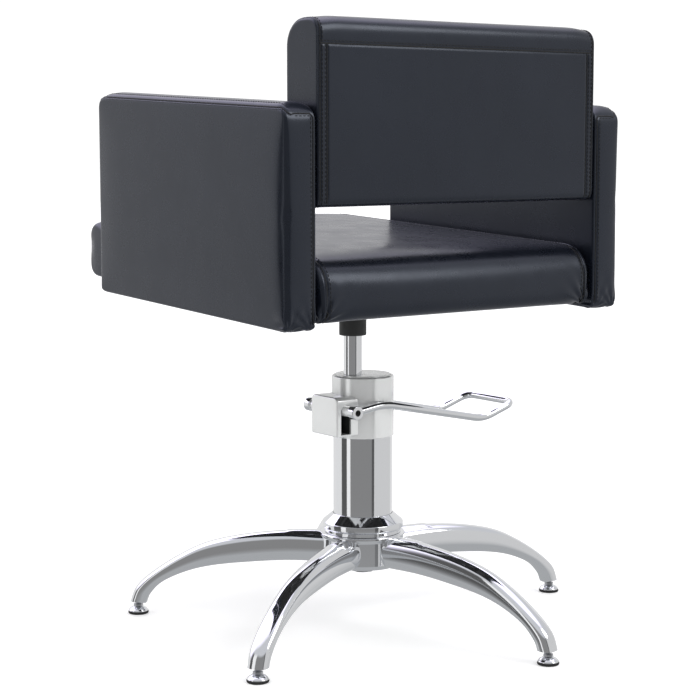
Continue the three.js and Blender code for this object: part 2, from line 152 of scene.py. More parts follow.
def set_normal(material, normal):
    link(material, normal, material.node_tree.nodes["Principled BSDF"].inputs["Normal"])


def set_roughness(material, value):
    shader = material.node_tree.nodes["Principled BSDF"]
    link(material, value, shader.inputs["Roughness"])


# ---------------------------------------------------------------- materials

def chrome_material():
    """Mirror plate with faint handling marks and a hardly visible orange-peel ripple."""
    material = new_material("chrome", (0.86, 0.87, 0.89), 0.05, 1.0)
    where = coordinates(material)
    smudge = noise(material, where, 14.0, 6.0)
    set_roughness(material, remap(material, smudge, 0.035, 0.095))
    ripple = noise(material, where, 60.0, 2.0)
    set_normal(material, bump(material, ripple, 0.03, 0.4 * MM))
    return material


def satin_material():
    """Polished cast alloy, a little softer than the chrome."""
    material = new_material("satin_alloy", (0.86, 0.87, 0.87), 0.2, 0.58)
    where = coordinates(material)
    cloud = noise(material, where, 22.0, 5.0)
    set_roughness(material, remap(material, cloud, 0.15, 0.26))
    grain = noise(material, coordinates(material, (1, 1, 0.08)), 900.0, 2.0)
    set_normal(material, bump(material, grain, 0.06, 0.1 * MM))
    return material


def steel_material():
    material = new_material("zinc_steel", (0.5, 0.51, 0.53), 0.35, 1.0)
    where = coordinates(material)
    spangle = noise(material, where, 120.0, 5.0)
    vary_color(material, spangle, (0.42, 0.43, 0.45), (0.6, 0.61, 0.63))
    set_roughness(material, remap(material, spangle, 0.28, 0.45))
    return material


def painted_material():
    material = new_material("black_paint", (0.018, 0.018, 0.02), 0.45)
    where = coordinates(material)
    set_roughness(material, remap(material, noise(material, where, 40.0), 0.38, 0.55))
    peel = noise(material, where, 700.0, 2.0)
    set_normal(material, bump(material, peel, 0.2, 0.15 * MM))
    return material


def leatherette_material():
    """Black faux leather with a blue cast: a fine pebble grain, soft rucks, even gloss."""
    material = new_material("faux_leather", (0.0042, 0.0055, 0.0095), 0.32,
                            Specular_IOR_Level=0.5, Specular_Tint=(0.76, 0.84, 1, 1), Coat_Weight=0.15,
                            Coat_Roughness=0.2, Coat_Tint=(0.9, 0.9, 1, 1),
                            Sheen_Weight=0.06, Sheen_Roughness=0.3,
                            Sheen_Tint=(0.8, 0.78, 1, 1))
    where = coordinates(material)
    cloud = noise(material, where, 9.0, 5.0)
    vary_color(material, remap(material, cloud, 0.0, 1.0),
               (0.0032, 0.0043, 0.0078), (0.0054, 0.007, 0.0115))
    set_roughness(material, remap(material, noise(material, where, 35.0, 6.0), 0.24, 0.33))
    pebbles = add_node(material, "ShaderNodeTexVoronoi", {"Scale": 950.0, "Randomness": 0.9})
    link(material, where, pebbles.inputs["Vector"])
    grain = bump(material, pebbles.outputs["Distance"], 0.1, 0.08 * MM)
    rucks = noise(material, coordinates(material, (1, 1, 0.45)), 24.0, 3.0, 0.4)
    set_normal(material, bump(material, rucks, 0.1, 2.2 * MM, before=grain))
    return material


def lining_material():
    """Black woven cloth, which the whole seat board is shown in."""
    material = new_material("black_lining", (0.012, 0.012, 0.013), 0.85)
    weave = add_node(material, "ShaderNodeTexBrick", {"Scale": 420.0})
    link(material, coordinates(material), weave.inputs["Vector"])
    set_normal(material, bump(material, weave.outputs["Fac"], 0.5, 0.15 * MM))
    return material


def thread_and_seam_shade_material():
    # Dark thread for the stitches; the same material also paints the seam grooves' shade, on the seam
    # cords.
    material = new_material("thread", (0.004, 0.0045, 0.006), 0.6)
    twist = add_node(material, "ShaderNodeTexWave", {"Scale": 900.0})
    link(material, coordinates(material), twist.inputs["Vector"])
    set_normal(material, bump(material, twist.outputs["Fac"], 0.4, 0.1 * MM))
    return material


def plastic_material():
    material = new_material("black_plastic", (0.017, 0.018, 0.018), 0.5)
    where = coordinates(material)
    set_roughness(material, remap(material, noise(material, where, 50.0), 0.42, 0.6))
    set_normal(material, bump(material, noise(material, where, 1400.0, 2.0), 0.25, 0.08 * MM))
    return material


def rubber_material():
    material = new_material("rubber", (0.014, 0.014, 0.014), 0.75)
    where = coordinates(material)
    set_roughness(material, remap(material, noise(material, where, 90.0), 0.65, 0.85))
    set_normal(material, bump(material, noise(material, where, 1100.0, 2.0), 0.3, 0.08 * MM))
    return material


def plywood_material():
    material = new_material("plywood", (0.5, 0.34, 0.19), 0.65)
    streak = noise(material, coordinates(material, (3, 40, 40)), 3.0, 6.0)
    vary_color(material, remap(material, streak, 0.0, 1.0),
               (0.38, 0.24, 0.12), (0.62, 0.45, 0.27))
    set_normal(material, bump(material, streak, 0.3, 0.2 * MM))
    return material


MATERIALS = {
    "chrome": chrome_material(),
    "satin_metal": satin_material(),
    "steel": steel_material(),
    "black_steel": painted_material(),
    "faux_leather": leatherette_material(),
    "black_plastic": plastic_material(),
    "rubber": rubber_material(),
    "plywood": plywood_material(),
}
THREAD_AND_SEAM_SHADE = thread_and_seam_shade_material()
LINING = lining_material()


# ---------------------------------------------------------------- mesh helpers

SHARP = math.radians(34)


def add_object(name, data):
    obj = bpy.data.objects.new(name, data)
    bpy.context.scene.collection.objects.link(obj)
    return obj


def make_object(name, verts, faces):
    mesh = bpy.data.meshes.new(name)
    mesh.from_pydata([tuple(v) for v in verts], [], [tuple(f) for f in faces])
    tidy_mesh(mesh)
    return add_object(name, mesh)


def object_from(work, name):
    """Turns a bmesh into an object."""
    mesh = bpy.data.meshes.new(name)
    work.to_mesh(mesh)
    work.free()
    tidy_mesh(mesh)
    return add_object(name, mesh)


def tidy_mesh(mesh, merge=1e-6, sharp=SHARP):
    """Joins doubled vertices, points the faces out and marks the hard edges."""
    work = bmesh.new()
    work.from_mesh(mesh)
    bmesh.ops.remove_doubles(work, verts=work.verts, dist=merge)
    bmesh.ops.dissolve_degenerate(work, edges=work.edges, dist=merge)
    bmesh.ops.recalc_face_normals(work, faces=work.faces)
    for face in work.faces:
        face.smooth = True
    for edge in work.edges:
        if len(edge.link_faces) == 2:
            edge.smooth = edge.calc_face_angle(0) < sharp
    work.to_mesh(mesh)
    work.free()
    mesh.update()


def dress(obj, body, slot, *nodes, material=None):
    """Gives a new piece its finish and its body, and hides the CAD nodes that it stands for."""
    obj.data.materials.clear()
    obj.data.materials.append(material or MATERIALS[slot])
    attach(obj, body)
    if nodes:
        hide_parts(*nodes)
    return obj


def softened(corners, steps=5):
    """An open outline of (r, z, fillet) points with its corners rounded off."""
    points = []
    for i, (r, z, radius) in enumerate(corners):
        here = np.array((r, z))
        if radius <= 0 or i in (0, len(corners) - 1):
            points.append(here)
            continue
        before, after = np.array(corners[i - 1][:2]), np.array(corners[i + 1][:2])
        to_before, to_after = before - here, after - here
        reach = min(radius, 0.49 * np.linalg.norm(to_before), 0.49 * np.linalg.norm(to_after))
        start = here + to_before / np.linalg.norm(to_before) * reach
        end = here + to_after / np.linalg.norm(to_after) * reach
        for k in range(steps + 1):
            t = k / steps
            points.append((1 - t) ** 2 * start + 2 * t * (1 - t) * here + t ** 2 * end)
    return points


def lathe(name, corners, at, axis="z", segments=96):
    """Turns an outline round a line through `at`. It starts and ends on the axis, or closes."""
    outline = softened(corners)
    closed = np.allclose(outline[0], outline[-1])
    if closed:
        outline = outline[:-1]
    verts, rings, faces = [], [], []
    for r, z in outline:
        if r < 1e-7:
            rings.append([len(verts)])
            verts.append((0, 0, z))
        else:
            rings.append(list(range(len(verts), len(verts) + segments)))
            verts += [(r * math.cos(TAU * k / segments), r * math.sin(TAU * k / segments), z)
                      for k in range(segments)]
    pairs = list(zip(rings, rings[1:])) + ([(rings[-1], rings[0])] if closed else [])
    for a, b in pairs:
        for k in range(segments):
            n = (k + 1) % segments
            if len(a) == 1 and len(b) == 1:
                break
            if len(a) == 1:
                faces.append((a[0], b[n], b[k]))
            elif len(b) == 1:
                faces.append((a[k], a[n], b[0]))
            else:
                faces.append((a[k], a[n], b[n], b[k]))
    turn = {"z": Matrix.Identity(3), "y": Matrix.Rotation(-math.pi / 2, 3, "X")}[axis]
    verts = [turn @ Vector(v) + Vector(at) for v in verts]
    return make_object(name, verts, faces)


def sweep(points, radius, sides=20, closed=False):
    """Vertices and faces of a round bar along a smooth list of points."""
    points = [Vector(p) for p in points]
    count = len(points)
    tangents = []
    for i in range(count):
        if closed:
            step = points[(i + 1) % count] - points[i - 1]
        else:
            step = points[min(i + 1, count - 1)] - points[max(i - 1, 0)]
        tangents.append(step.normalized())
    across = tangents[0].orthogonal().normalized()
    verts, faces = [], []
    for i, (point, along) in enumerate(zip(points, tangents)):
        across = (across - along * across.dot(along)).normalized()
        other = along.cross(across)
        for k in range(sides):
            angle = TAU * k / sides
            verts.append(point + radius * (math.cos(angle) * across + math.sin(angle) * other))
    last = count if closed else count - 1
    for i in range(last):
        j = (i + 1) % count
        for k in range(sides):
            n = (k + 1) % sides
            faces.append((i * sides + k, i * sides + n, j * sides + n, j * sides + k))
    if not closed:
        faces.append(tuple(reversed(range(sides))))
        faces.append(tuple(range((count - 1) * sides, count * sides)))
    return verts, faces


def bent(points, radius, steps=12, spacing=6 * MM):
    """A path of straight runs with rounded corners, as closely spaced points."""
    points = [Vector(p) for p in points]
    path = [points[0]]
    for before, here, after in zip(points, points[1:], points[2:]):
        reach = min(radius, (before - here).length / 2, (after - here).length / 2)
        start = here + (before - here).normalized() * reach
        end = here + (after - here).normalized() * reach
        path += [(1 - t) ** 2 * start + 2 * t * (1 - t) * here + t ** 2 * end
                 for t in (k / steps for k in range(steps + 1))]
    path.append(points[-1])
    dense = [path[0]]
    for a, b in zip(path, path[1:]):
        pieces = max(1, round((b - a).length / spacing))
        dense += [a.lerp(b, k / pieces) for k in range(1, pieces + 1)]
    return dense


def boolean(obj, other, operation):
    modifier = obj.modifiers.new("cut", "BOOLEAN")
    modifier.operation = operation
    modifier.object = other
    modifier.solver = "EXACT"
    apply_modifiers(obj)
    bpy.data.objects.remove(other)
    tidy_mesh(obj.data, 1e-5)


def apply_modifiers(obj):
    bpy.context.view_layer.update()
    graph = bpy.context.evaluated_depsgraph_get()
    mesh = bpy.data.meshes.new_from_object(obj.evaluated_get(graph))
    old = obj.data
    obj.modifiers.clear()
    obj.data = mesh
    bpy.data.meshes.remove(old)


def box_object(name, lower, upper):
    work = bmesh.new()
    bmesh.ops.create_cube(work, size=1)
    lower, upper = Vector(lower), Vector(upper)
    for vert in work.verts:
        vert.co = (lower + upper) / 2 + Matrix.Diagonal(upper - lower) @ vert.co
    return object_from(work, name)


def round_bar(name, radius, start, end, at, axis="z", segments=96):
    return lathe(name, [(0, start, 0), (radius, start, 0), (radius, end, 0), (0, end, 0)],
                 at, axis, segments)


# ---------------------------------------------------------------- base

# Down a leg: distance out, height, half depth and half width of its middle.
LEG_STATIONS = np.array([
    (50, 101.5, 21, 20), (105, 101, 20.5, 17.5), (162, 95.5, 19.3, 15.5),
    (211, 86.5, 16.5, 14.5), (249, 72.5, 12.5, 14), (283, 53.5, 9.8, 14),
    (304, 34, 10.8, 13.6), (311.5, 17.5, 11, 13),
]) * MM
LEG_SQUARENESS = 2.5
LEG_PAD = {"start": 62 * MM, "end": 98 * MM, "half": 8 * MM, "rise": 1.1 * MM}


def catmull(points, count):
    """Evenly stepped points on a smooth curve through the given rows."""
    first, last = 2 * points[0] - points[1], 2 * points[-1] - points[-2]
    padded = np.vstack([first, points, last])
    rows = []
    for t in np.linspace(0, len(points) - 1, count):
        i = min(int(t), len(points) - 2)
        u = t - i
        a, b, c, d = padded[i:i + 4]
        rows.append(0.5 * (2 * b + (c - a) * u + (2 * a - 5 * b + 4 * c - d) * u ** 2
                           + (3 * b - a - 3 * c + d) * u ** 3))
    return np.array(rows)


def smoothstep(low_edge, high_edge, value):
    t = np.clip((value - low_edge) / (high_edge - low_edge), 0, 1)
    return t * t * (3 - 2 * t)


def leg_mesh(stations=64, around=48):
    rows = catmull(LEG_STATIONS, stations)
    tangents = np.gradient(rows[:, :2], axis=0)
    tangents[-1] = (0, -1)
    verts, faces = [], []
    for (out, z, deep, wide), (tx, tz) in zip(rows, tangents):
        length = math.hypot(tx, tz)
        up = (-tz / length, tx / length)
        for k in range(around):
            angle = TAU * (k + 0.5) / around
            c, s = math.cos(angle), math.sin(angle)
            side = wide * math.copysign(abs(c) ** (2 / LEG_SQUARENESS), c)
            rise = deep * math.copysign(abs(s) ** (2 / LEG_SQUARENESS), s)
            if s > 0:
                run = smoothstep(LEG_PAD["start"] - 8 * MM, LEG_PAD["start"], out) \
                    - smoothstep(LEG_PAD["end"], LEG_PAD["end"] + 6 * MM, out)
                inside = 1 - smoothstep(LEG_PAD["half"], LEG_PAD["half"] + 3 * MM, abs(side))
                rise += LEG_PAD["rise"] * run * inside
            verts.append((out + up[0] * rise, side, z + up[1] * rise))
    for i in range(stations - 1):
        for k in range(around):
            n = (k + 1) % around
            faces.append((i * around + k, i * around + n,
                          (i + 1) * around + n, (i + 1) * around + k))
    faces.append(tuple(reversed(range(around))))
    faces.append(tuple(range((stations - 1) * around, stations * around)))
    return verts, faces


def build_legs():
    verts, faces = leg_mesh()
    centre = Vector((COLUMN.x, COLUMN.y, 0))
    for number in range(1, LEG_COUNT + 1):
        foot = middle(f"foot_pad_{number}")
        out = foot - COLUMN
        turn = Matrix.Rotation(math.atan2(out.y, out.x), 3, "Z")
        leg = make_object(f"leg_{number}", [turn @ Vector(v) + centre for v in verts], faces)
        socket = round_bar("socket", STEM_HOLE, 10 * MM, 31 * MM, (foot.x, foot.y, 0), segments=32)
        boolean(leg, socket, "DIFFERENCE")
        dress(leg, "base", "chrome", f"base_leg_{number}")


def hexagon_prism(name, across_corners, bottom, top, at):
    work = bmesh.new()
    bmesh.ops.create_cone(work, cap_ends=True, segments=6, radius1=across_corners / 2,
                          radius2=across_corners / 2, depth=top - bottom)
    bmesh.ops.translate(work, verts=work.verts, vec=(at[0], at[1], (top + bottom) / 2))
    bmesh.ops.bevel(work, geom=list(work.edges), offset=0.4 * MM, segments=2, profile=0.5,
                    affect="EDGES")
    return object_from(work, name)


def join_into(obj, *others):
    """Adds the others' meshes to obj's, as separate shells of one piece."""
    work = bmesh.new()
    for part in (obj, *others):
        work.from_mesh(part.data)
    work.to_mesh(obj.data)
    work.free()
    for part in others:
        bpy.data.objects.remove(part)
    return obj


def build_feet():
    for number in range(1, LEG_COUNT + 1):
        spot = middle(f"foot_pad_{number}")
        at = (spot.x, spot.y, 0)
        pad, top = 14 * MM, high(f"foot_pad_{number}").z
        pad_piece = lathe(f"foot_pad_piece_{number}", [
            (0, 0, 0), (pad - 0.5 * MM, 0, 0.4 * MM), (pad, 0.8 * MM, 0.4 * MM),
            (pad, top, 0.3 * MM), (0, top, 0),
        ], at, segments=64)
        dress(pad_piece, f"foot_{number}", "rubber", f"foot_pad_{number}")
        bottom = low(f"foot_dome_{number}").z
        dome = lathe(f"foot_dome_piece_{number}", [
            (STEM_HOLE, bottom, 0), (pad - 0.4 * MM, bottom, 0.6 * MM),
            (pad - 0.5 * MM, 4.6 * MM, 1 * MM), (pad - 3.4 * MM, 7.6 * MM, 3 * MM),
            (6.5 * MM, 9.3 * MM, 2 * MM), (STEM_HOLE, 9.7 * MM, 0.3 * MM),
            (STEM_HOLE, bottom, 0),
        ], at, segments=64)
        dress(dome, f"foot_{number}", "chrome", f"foot_dome_{number}")
        stem_low, stem_high = low(f"foot_stem_{number}").z, high(f"foot_stem_{number}").z
        threads = [(0, stem_low, 0), (3.4 * MM, stem_low, 0), (3.4 * MM, 13 * MM, 0)]
        z, pitch = 13.2 * MM, 0.8 * MM
        while z < stem_high - pitch:
            threads += [(3.1 * MM, z, 0), (3.5 * MM, z + 0.4 * MM, 0)]
            z += pitch
        threads += [(3.0 * MM, stem_high, 0), (0, stem_high, 0)]
        stem = lathe(f"foot_stem_piece_{number}", threads, at, segments=40)
        join_into(stem, hexagon_prism("nut", 13 * MM, 9.9 * MM, 13.2 * MM, at))
        dress(stem, f"stem_{number}", "steel", f"foot_stem_{number}")


def build_hub():
    at = (COLUMN.x, COLUMN.y, 0)
    bottom, top = low("base_hub").z, high("base_hub").z
    radius, rim = 55 * MM, 57.2 * MM
    stud_hole, floor = 12.4 * MM, bottom + 10 * MM
    hub = lathe("hub", [
        (stud_hole, bottom, 0), (radius - 5 * MM, bottom, 2 * MM),
        (radius, bottom + 5 * MM, 2 * MM), (radius, top - 6.5 * MM, 1.5 * MM),
        (rim, top - 4 * MM, 1.6 * MM), (rim, top - 0.6 * MM, 1.6 * MM),
        (rim - 2.2 * MM, top, 1 * MM), (HUB_BORE, top, 0), (HUB_BORE, floor, 0),
        (stud_hole, floor, 0), (stud_hole, bottom, 0),
    ], at, segments=160)
    dress(hub, "base", "chrome", "base_hub")
    low_edge, top = low("base_collar").z, high("base_collar").z
    band, lip = 54.8 * MM, 51.8 * MM
    collar = lathe("hub_collar", [
        (HUB_BORE, low_edge, 0), (lip, low_edge, 0.4 * MM), (lip, 129.4 * MM, 0.8 * MM),
        (band, 131 * MM, 0.8 * MM), (band, 138.5 * MM, 0.9 * MM),
        (41.5 * MM, top, 0.6 * MM), (HUB_BORE, top, 0.2 * MM), (HUB_BORE, low_edge, 0),
    ], at, segments=160)
    dress(collar, "base", "chrome", "base_collar")


# ---------------------------------------------------------------- pump

def build_cylinder():
    at = (COLUMN.x, COLUMN.y, 0)
    bottom, top = low("pump_cylinder").z, high("pump_cylinder").z
    radius, bore, stud, floor = 40 * MM, 35 * MM, 11.8 * MM, 89.4 * MM
    cylinder = lathe("pump_tube", [
        (0, bottom, 0), (stud, bottom, 0.8 * MM), (stud, floor, 0), (radius, floor, 1 * MM),
        (radius, top, 0.4 * MM), (bore, top, 0.3 * MM), (bore, floor + 7 * MM, 0),
        (0, floor + 7 * MM, 0),
    ], at, segments=192)
    dress(cylinder, "base", "chrome", "pump_cylinder")


def build_head():
    at = (COLUMN.x, COLUMN.y, 0)
    x, y, shaft_height = SHAFT_AXIS
    bottom, top = low("pump_head").z, high("pump_head").z
    radius = COLUMN.x - low("pump_head").x
    head = lathe("pump_head_piece", [
        (0, bottom, 0), (radius, bottom, 0.6 * MM), (radius, top, 3 * MM), (0, top, 0),
    ], at, segments=160)
    housing = box_object("housing", (COLUMN.x + 12 * MM, y - 29 * MM, 261.5 * MM),
                         (high("pump_head").x, y + 29 * MM, 314 * MM))
    bevel_along(housing, 7 * MM, 2.2 * MM)
    boolean(head, housing, "UNION")
    plate_seat, above = 334.5 * MM, 345 * MM
    recess = round_bar("recess", radius_of("head_plate") + 0.45 * MM, plate_seat, above, at,
                       segments=128)
    boolean(head, recess, "DIFFERENCE")
    boolean(head, round_bar("bore", ROD_HOLE, 200 * MM, above, (ROD.x, ROD.y, 0)), "DIFFERENCE")
    half = 8.25 * MM

    def slot_box(name, inset, near, far, start, end):
        """A box in the plunger's slot, by mm along Y from the shaft and mm above the floor."""
        return box_object(name, (x - half + inset, y + near * MM, start * MM),
                          (x + half - inset, y + far * MM, end * MM))

    slot = slot_box("slot", 0, -20, 45, 264, 298)
    arch = round_bar("arch", half, -65 * MM, 0, (x, y - 20 * MM, 298 * MM), "y", 64)
    boolean(slot, arch, "UNION")
    boolean(head, slot, "DIFFERENCE")
    bore = round_bar("shaft_bore", 7.7 * MM, -20 * MM, 0, (x, y - 35 * MM, shaft_height), "y", 64)
    boolean(head, bore, "DIFFERENCE")
    dress(head, "base", "satin_metal", "pump_head")
    # Painted shade: a thin black plastic shell set inside the slot darkens its inside, where the
    # head's own shade falls.
    slot_shade_shell = slot_box("slot_painted_shade", 0.05 * MM, -19.9, 26, 264.1, 296)
    boolean(slot_shade_shell, slot_box("hollow", 0.5 * MM, -19.4, 30, 264.6, 300), "DIFFERENCE")
    boolean(slot_shade_shell, slot_box("open_bottom", 0.5 * MM, 14, 30, 260, 270), "DIFFERENCE")
    dress(slot_shade_shell, "base", "black_plastic")


def bevel_along(obj, top_radius, edge):
    """Rounds a housing's two long top edges widely and its other edges finely."""
    work = bmesh.new()
    work.from_mesh(obj.data)
    top = max(v.co.z for v in work.verts)
    long_edges = [e for e in work.edges
                  if all(abs(v.co.z - top) < 1e-5 for v in e.verts)
                  and abs(e.verts[0].co.y - e.verts[1].co.y) < 1e-5]
    bmesh.ops.bevel(work, geom=long_edges, offset=top_radius, segments=8, profile=0.5,
                    affect="EDGES")
    hard = [e for e in work.edges if len(e.link_faces) == 2 and e.calc_face_angle(0) > 0.9]
    bmesh.ops.bevel(work, geom=hard, offset=edge, segments=4, profile=0.5, affect="EDGES")
    work.to_mesh(obj.data)
    work.free()
    tidy_mesh(obj.data)


def build_head_top():
    outer = radius_of("rod_gland")
    hole = outer + 0.3 * MM
    bottom, top = low("head_plate").z, high("head_plate").z
    radius = radius_of("head_plate")
    plate = lathe("head_plate_piece", [
        (0, bottom, 0), (radius, bottom, 0.5 * MM), (radius, top, 0.5 * MM), (0, top, 0),
    ], (COLUMN.x, COLUMN.y, 0), segments=128)
    cutter = round_bar("hole", hole, bottom - MM, top + MM, (ROD.x, ROD.y, 0))
    boolean(plate, cutter, "DIFFERENCE")
    dress(plate, "base", "satin_metal", "head_plate")
    bottom, top = low("rod_gland").z, high("rod_gland").z
    bore = 12.8 * MM
    gland = lathe("rod_gland_piece", [
        (bore, bottom, 0), (outer, bottom, 0), (outer, top, 0.5 * MM), (bore, top, 0.5 * MM),
        (bore, bottom, 0)], (ROD.x, ROD.y, 0), segments=96)
    dress(gland, "base", "satin_metal", "rod_gland")


def build_rod():
    at = (ROD.x, ROD.y, 0)
    bottom, top = low("piston_rod").z, high("piston_rod").z
    radius = radius_of("piston_rod")
    rod = lathe("piston_rod_piece", [
        (0, bottom, 0), (radius, bottom, 0.5 * MM), (radius, top, MM), (0, top, 0)],
        at, segments=128)
    dress(rod, "ram", "chrome", "piston_rod")
    low_edge, high_edge = low("rod_cap").z, high("rod_cap").z
    outer, inner, floor = radius_of("rod_cap"), 16.5 * MM, low_edge + 3.2 * MM
    cap = lathe("rod_cap_piece", [
        (ROD_HOLE, low_edge, 0), (outer, low_edge, 1.4 * MM), (outer, high_edge, 0.8 * MM),
        (inner, high_edge, 0.3 * MM), (inner, floor, 0), (ROD_HOLE, floor, 0),
        (ROD_HOLE, low_edge, 0)], at, segments=128)
    dress(cap, "chair_top", "black_plastic", "rod_cap")
    low_edge, high_edge = low("rod_socket").z, high("rod_socket").z
    outer, ceiling = 16.2 * MM, 430.5 * MM
    socket = lathe("rod_socket_piece", [
        (ROD_HOLE, low_edge, 0), (outer, low_edge, 0.4 * MM), (outer, high_edge, 0.6 * MM),
        (0, high_edge, 0), (0, ceiling, 0), (ROD_HOLE, ceiling, 0),
        (ROD_HOLE, low_edge, 0)], at, segments=96)
    dress(socket, "chair_top", "steel", "rod_socket")


# ---------------------------------------------------------------- pedal

# One pedal arm from the side, from the shaft to the upturned end: (x, z) from the column.
PEDAL_ARM = [(50, 296), (2, 303), (-172, 267.5), (-229, 286)]


def build_pedal():
    reach = 49.5 * MM
    near = [Vector((COLUMN.x + x * MM, COLUMN.y + reach, z * MM)) for x, z in PEDAL_ARM]
    far = [Vector((p.x, COLUMN.y - reach, p.z)) for p in reversed(near)]
    near[0] = near[0] + (near[1] - near[0]).normalized() * 6 * MM
    far[-1] = far[-1] + (far[-2] - far[-1]).normalized() * 6 * MM
    verts, faces = sweep(bent(near + far, 17 * MM), 5 * MM, sides=28)
    pedal = make_object("pedal_bar_piece", verts, faces)
    x, y, z = SHAFT_AXIS
    for name, start, end in (("a", 43.5, 55), ("b", -55, -43.5)):
        boss = lathe("boss_" + name, [
            (4.3 * MM, -end * MM, 0.3 * MM), (9.25 * MM, -end * MM, 1.2 * MM),
            (9.25 * MM, -start * MM, 0.8 * MM), (4.3 * MM, -start * MM, 0),
            (4.3 * MM, -end * MM, 0)], (x, y, z), axis="y", segments=72)
        flip_y(boss, y)
        join_into(pedal, boss)
    dress(pedal, "pedal", "chrome", "pedal_bar")
    button = lathe("shaft_button_piece", [
        (0, 0, 0), (6.4 * MM, 0, 0.5 * MM), (6.4 * MM, 2 * MM, 1.5 * MM),
        (4.4 * MM, 5 * MM, 2 * MM), (0, 6 * MM, 0)],
        (x, low("pedal_bar").y - 0.3 * MM, z), axis="y", segments=48)
    flip_y(button, low("pedal_bar").y - 0.3 * MM)
    dress(button, "pedal", "chrome", "shaft_button")


def flip_y(obj, about):
    """Mirrors a turned piece along Y about a plane."""
    for vert in obj.data.vertices:
        vert.co.y = 2 * about - vert.co.y
    obj.data.flip_normals()


def build_spring():
    """The plunger's return spring, as wound wire. It is drawn short at its upper end,
    because it doesn't shorten when the plunger comes down."""
    shortened = 2.4 * MM
    bottom, top = low("plunger_spring").z, high("plunger_spring").z - shortened
    spot = middle("plunger_spring")
    turns, radius, wire = 4, 4.4 * MM, 0.6 * MM
    steps = turns * 24
    points = []
    for k in range(steps + 1):
        t = k / steps
        angle = TAU * turns * t
        points.append((spot.x + radius * math.cos(angle), spot.y + radius * math.sin(angle),
                       bottom + wire + t * (top - bottom - 2 * wire)))
    spring = make_object("plunger_spring_piece", *sweep(points, wire, sides=10))
    dress(spring, "base", "steel", "plunger_spring")


# ---------------------------------------------------------------- upholstery

def corner_arc(before, here, after, radius, steps):
    before, here, after = map(np.array, (before, here, after))
    to_before = (before - here) / np.linalg.norm(before - here)
    to_after = (after - here) / np.linalg.norm(after - here)
    half = math.acos(np.clip(to_before @ to_after, -1, 1)) / 2
    centre = here + (to_before + to_after) / np.linalg.norm(to_before + to_after) \
        * radius / math.sin(half)
    start = here + to_before * radius / math.tan(half)
    end = here + to_after * radius / math.tan(half)
    a0 = math.atan2(*(start - centre)[::-1])
    a1 = math.atan2(*(end - centre)[::-1])
    sweep_angle = (a1 - a0 + math.pi) % TAU - math.pi
    angles = a0 + np.linspace(0, 1, steps) * sweep_angle
    return [centre + radius * np.array((math.cos(a), math.sin(a))) for a in angles]


def resample(points, count, stops=()):
    """`count` points along a polyline, the nearest ones snapped to the given arc lengths."""
    points = np.array(points)
    lengths = np.concatenate([[0], np.cumsum(np.linalg.norm(np.diff(points, axis=0), axis=1))])
    wanted = np.linspace(0, lengths[-1], count)
    for stop in stops:
        wanted[1 + np.argmin(np.abs(wanted[1:-1] - stop))] = stop
    wanted = np.sort(wanted)
    return np.stack([np.interp(wanted, lengths, points[:, k]) for k in (0, 1)], axis=1)


SEAM_GAP = 2.2 * MM  # the grid has a row this far on each side of a seam line


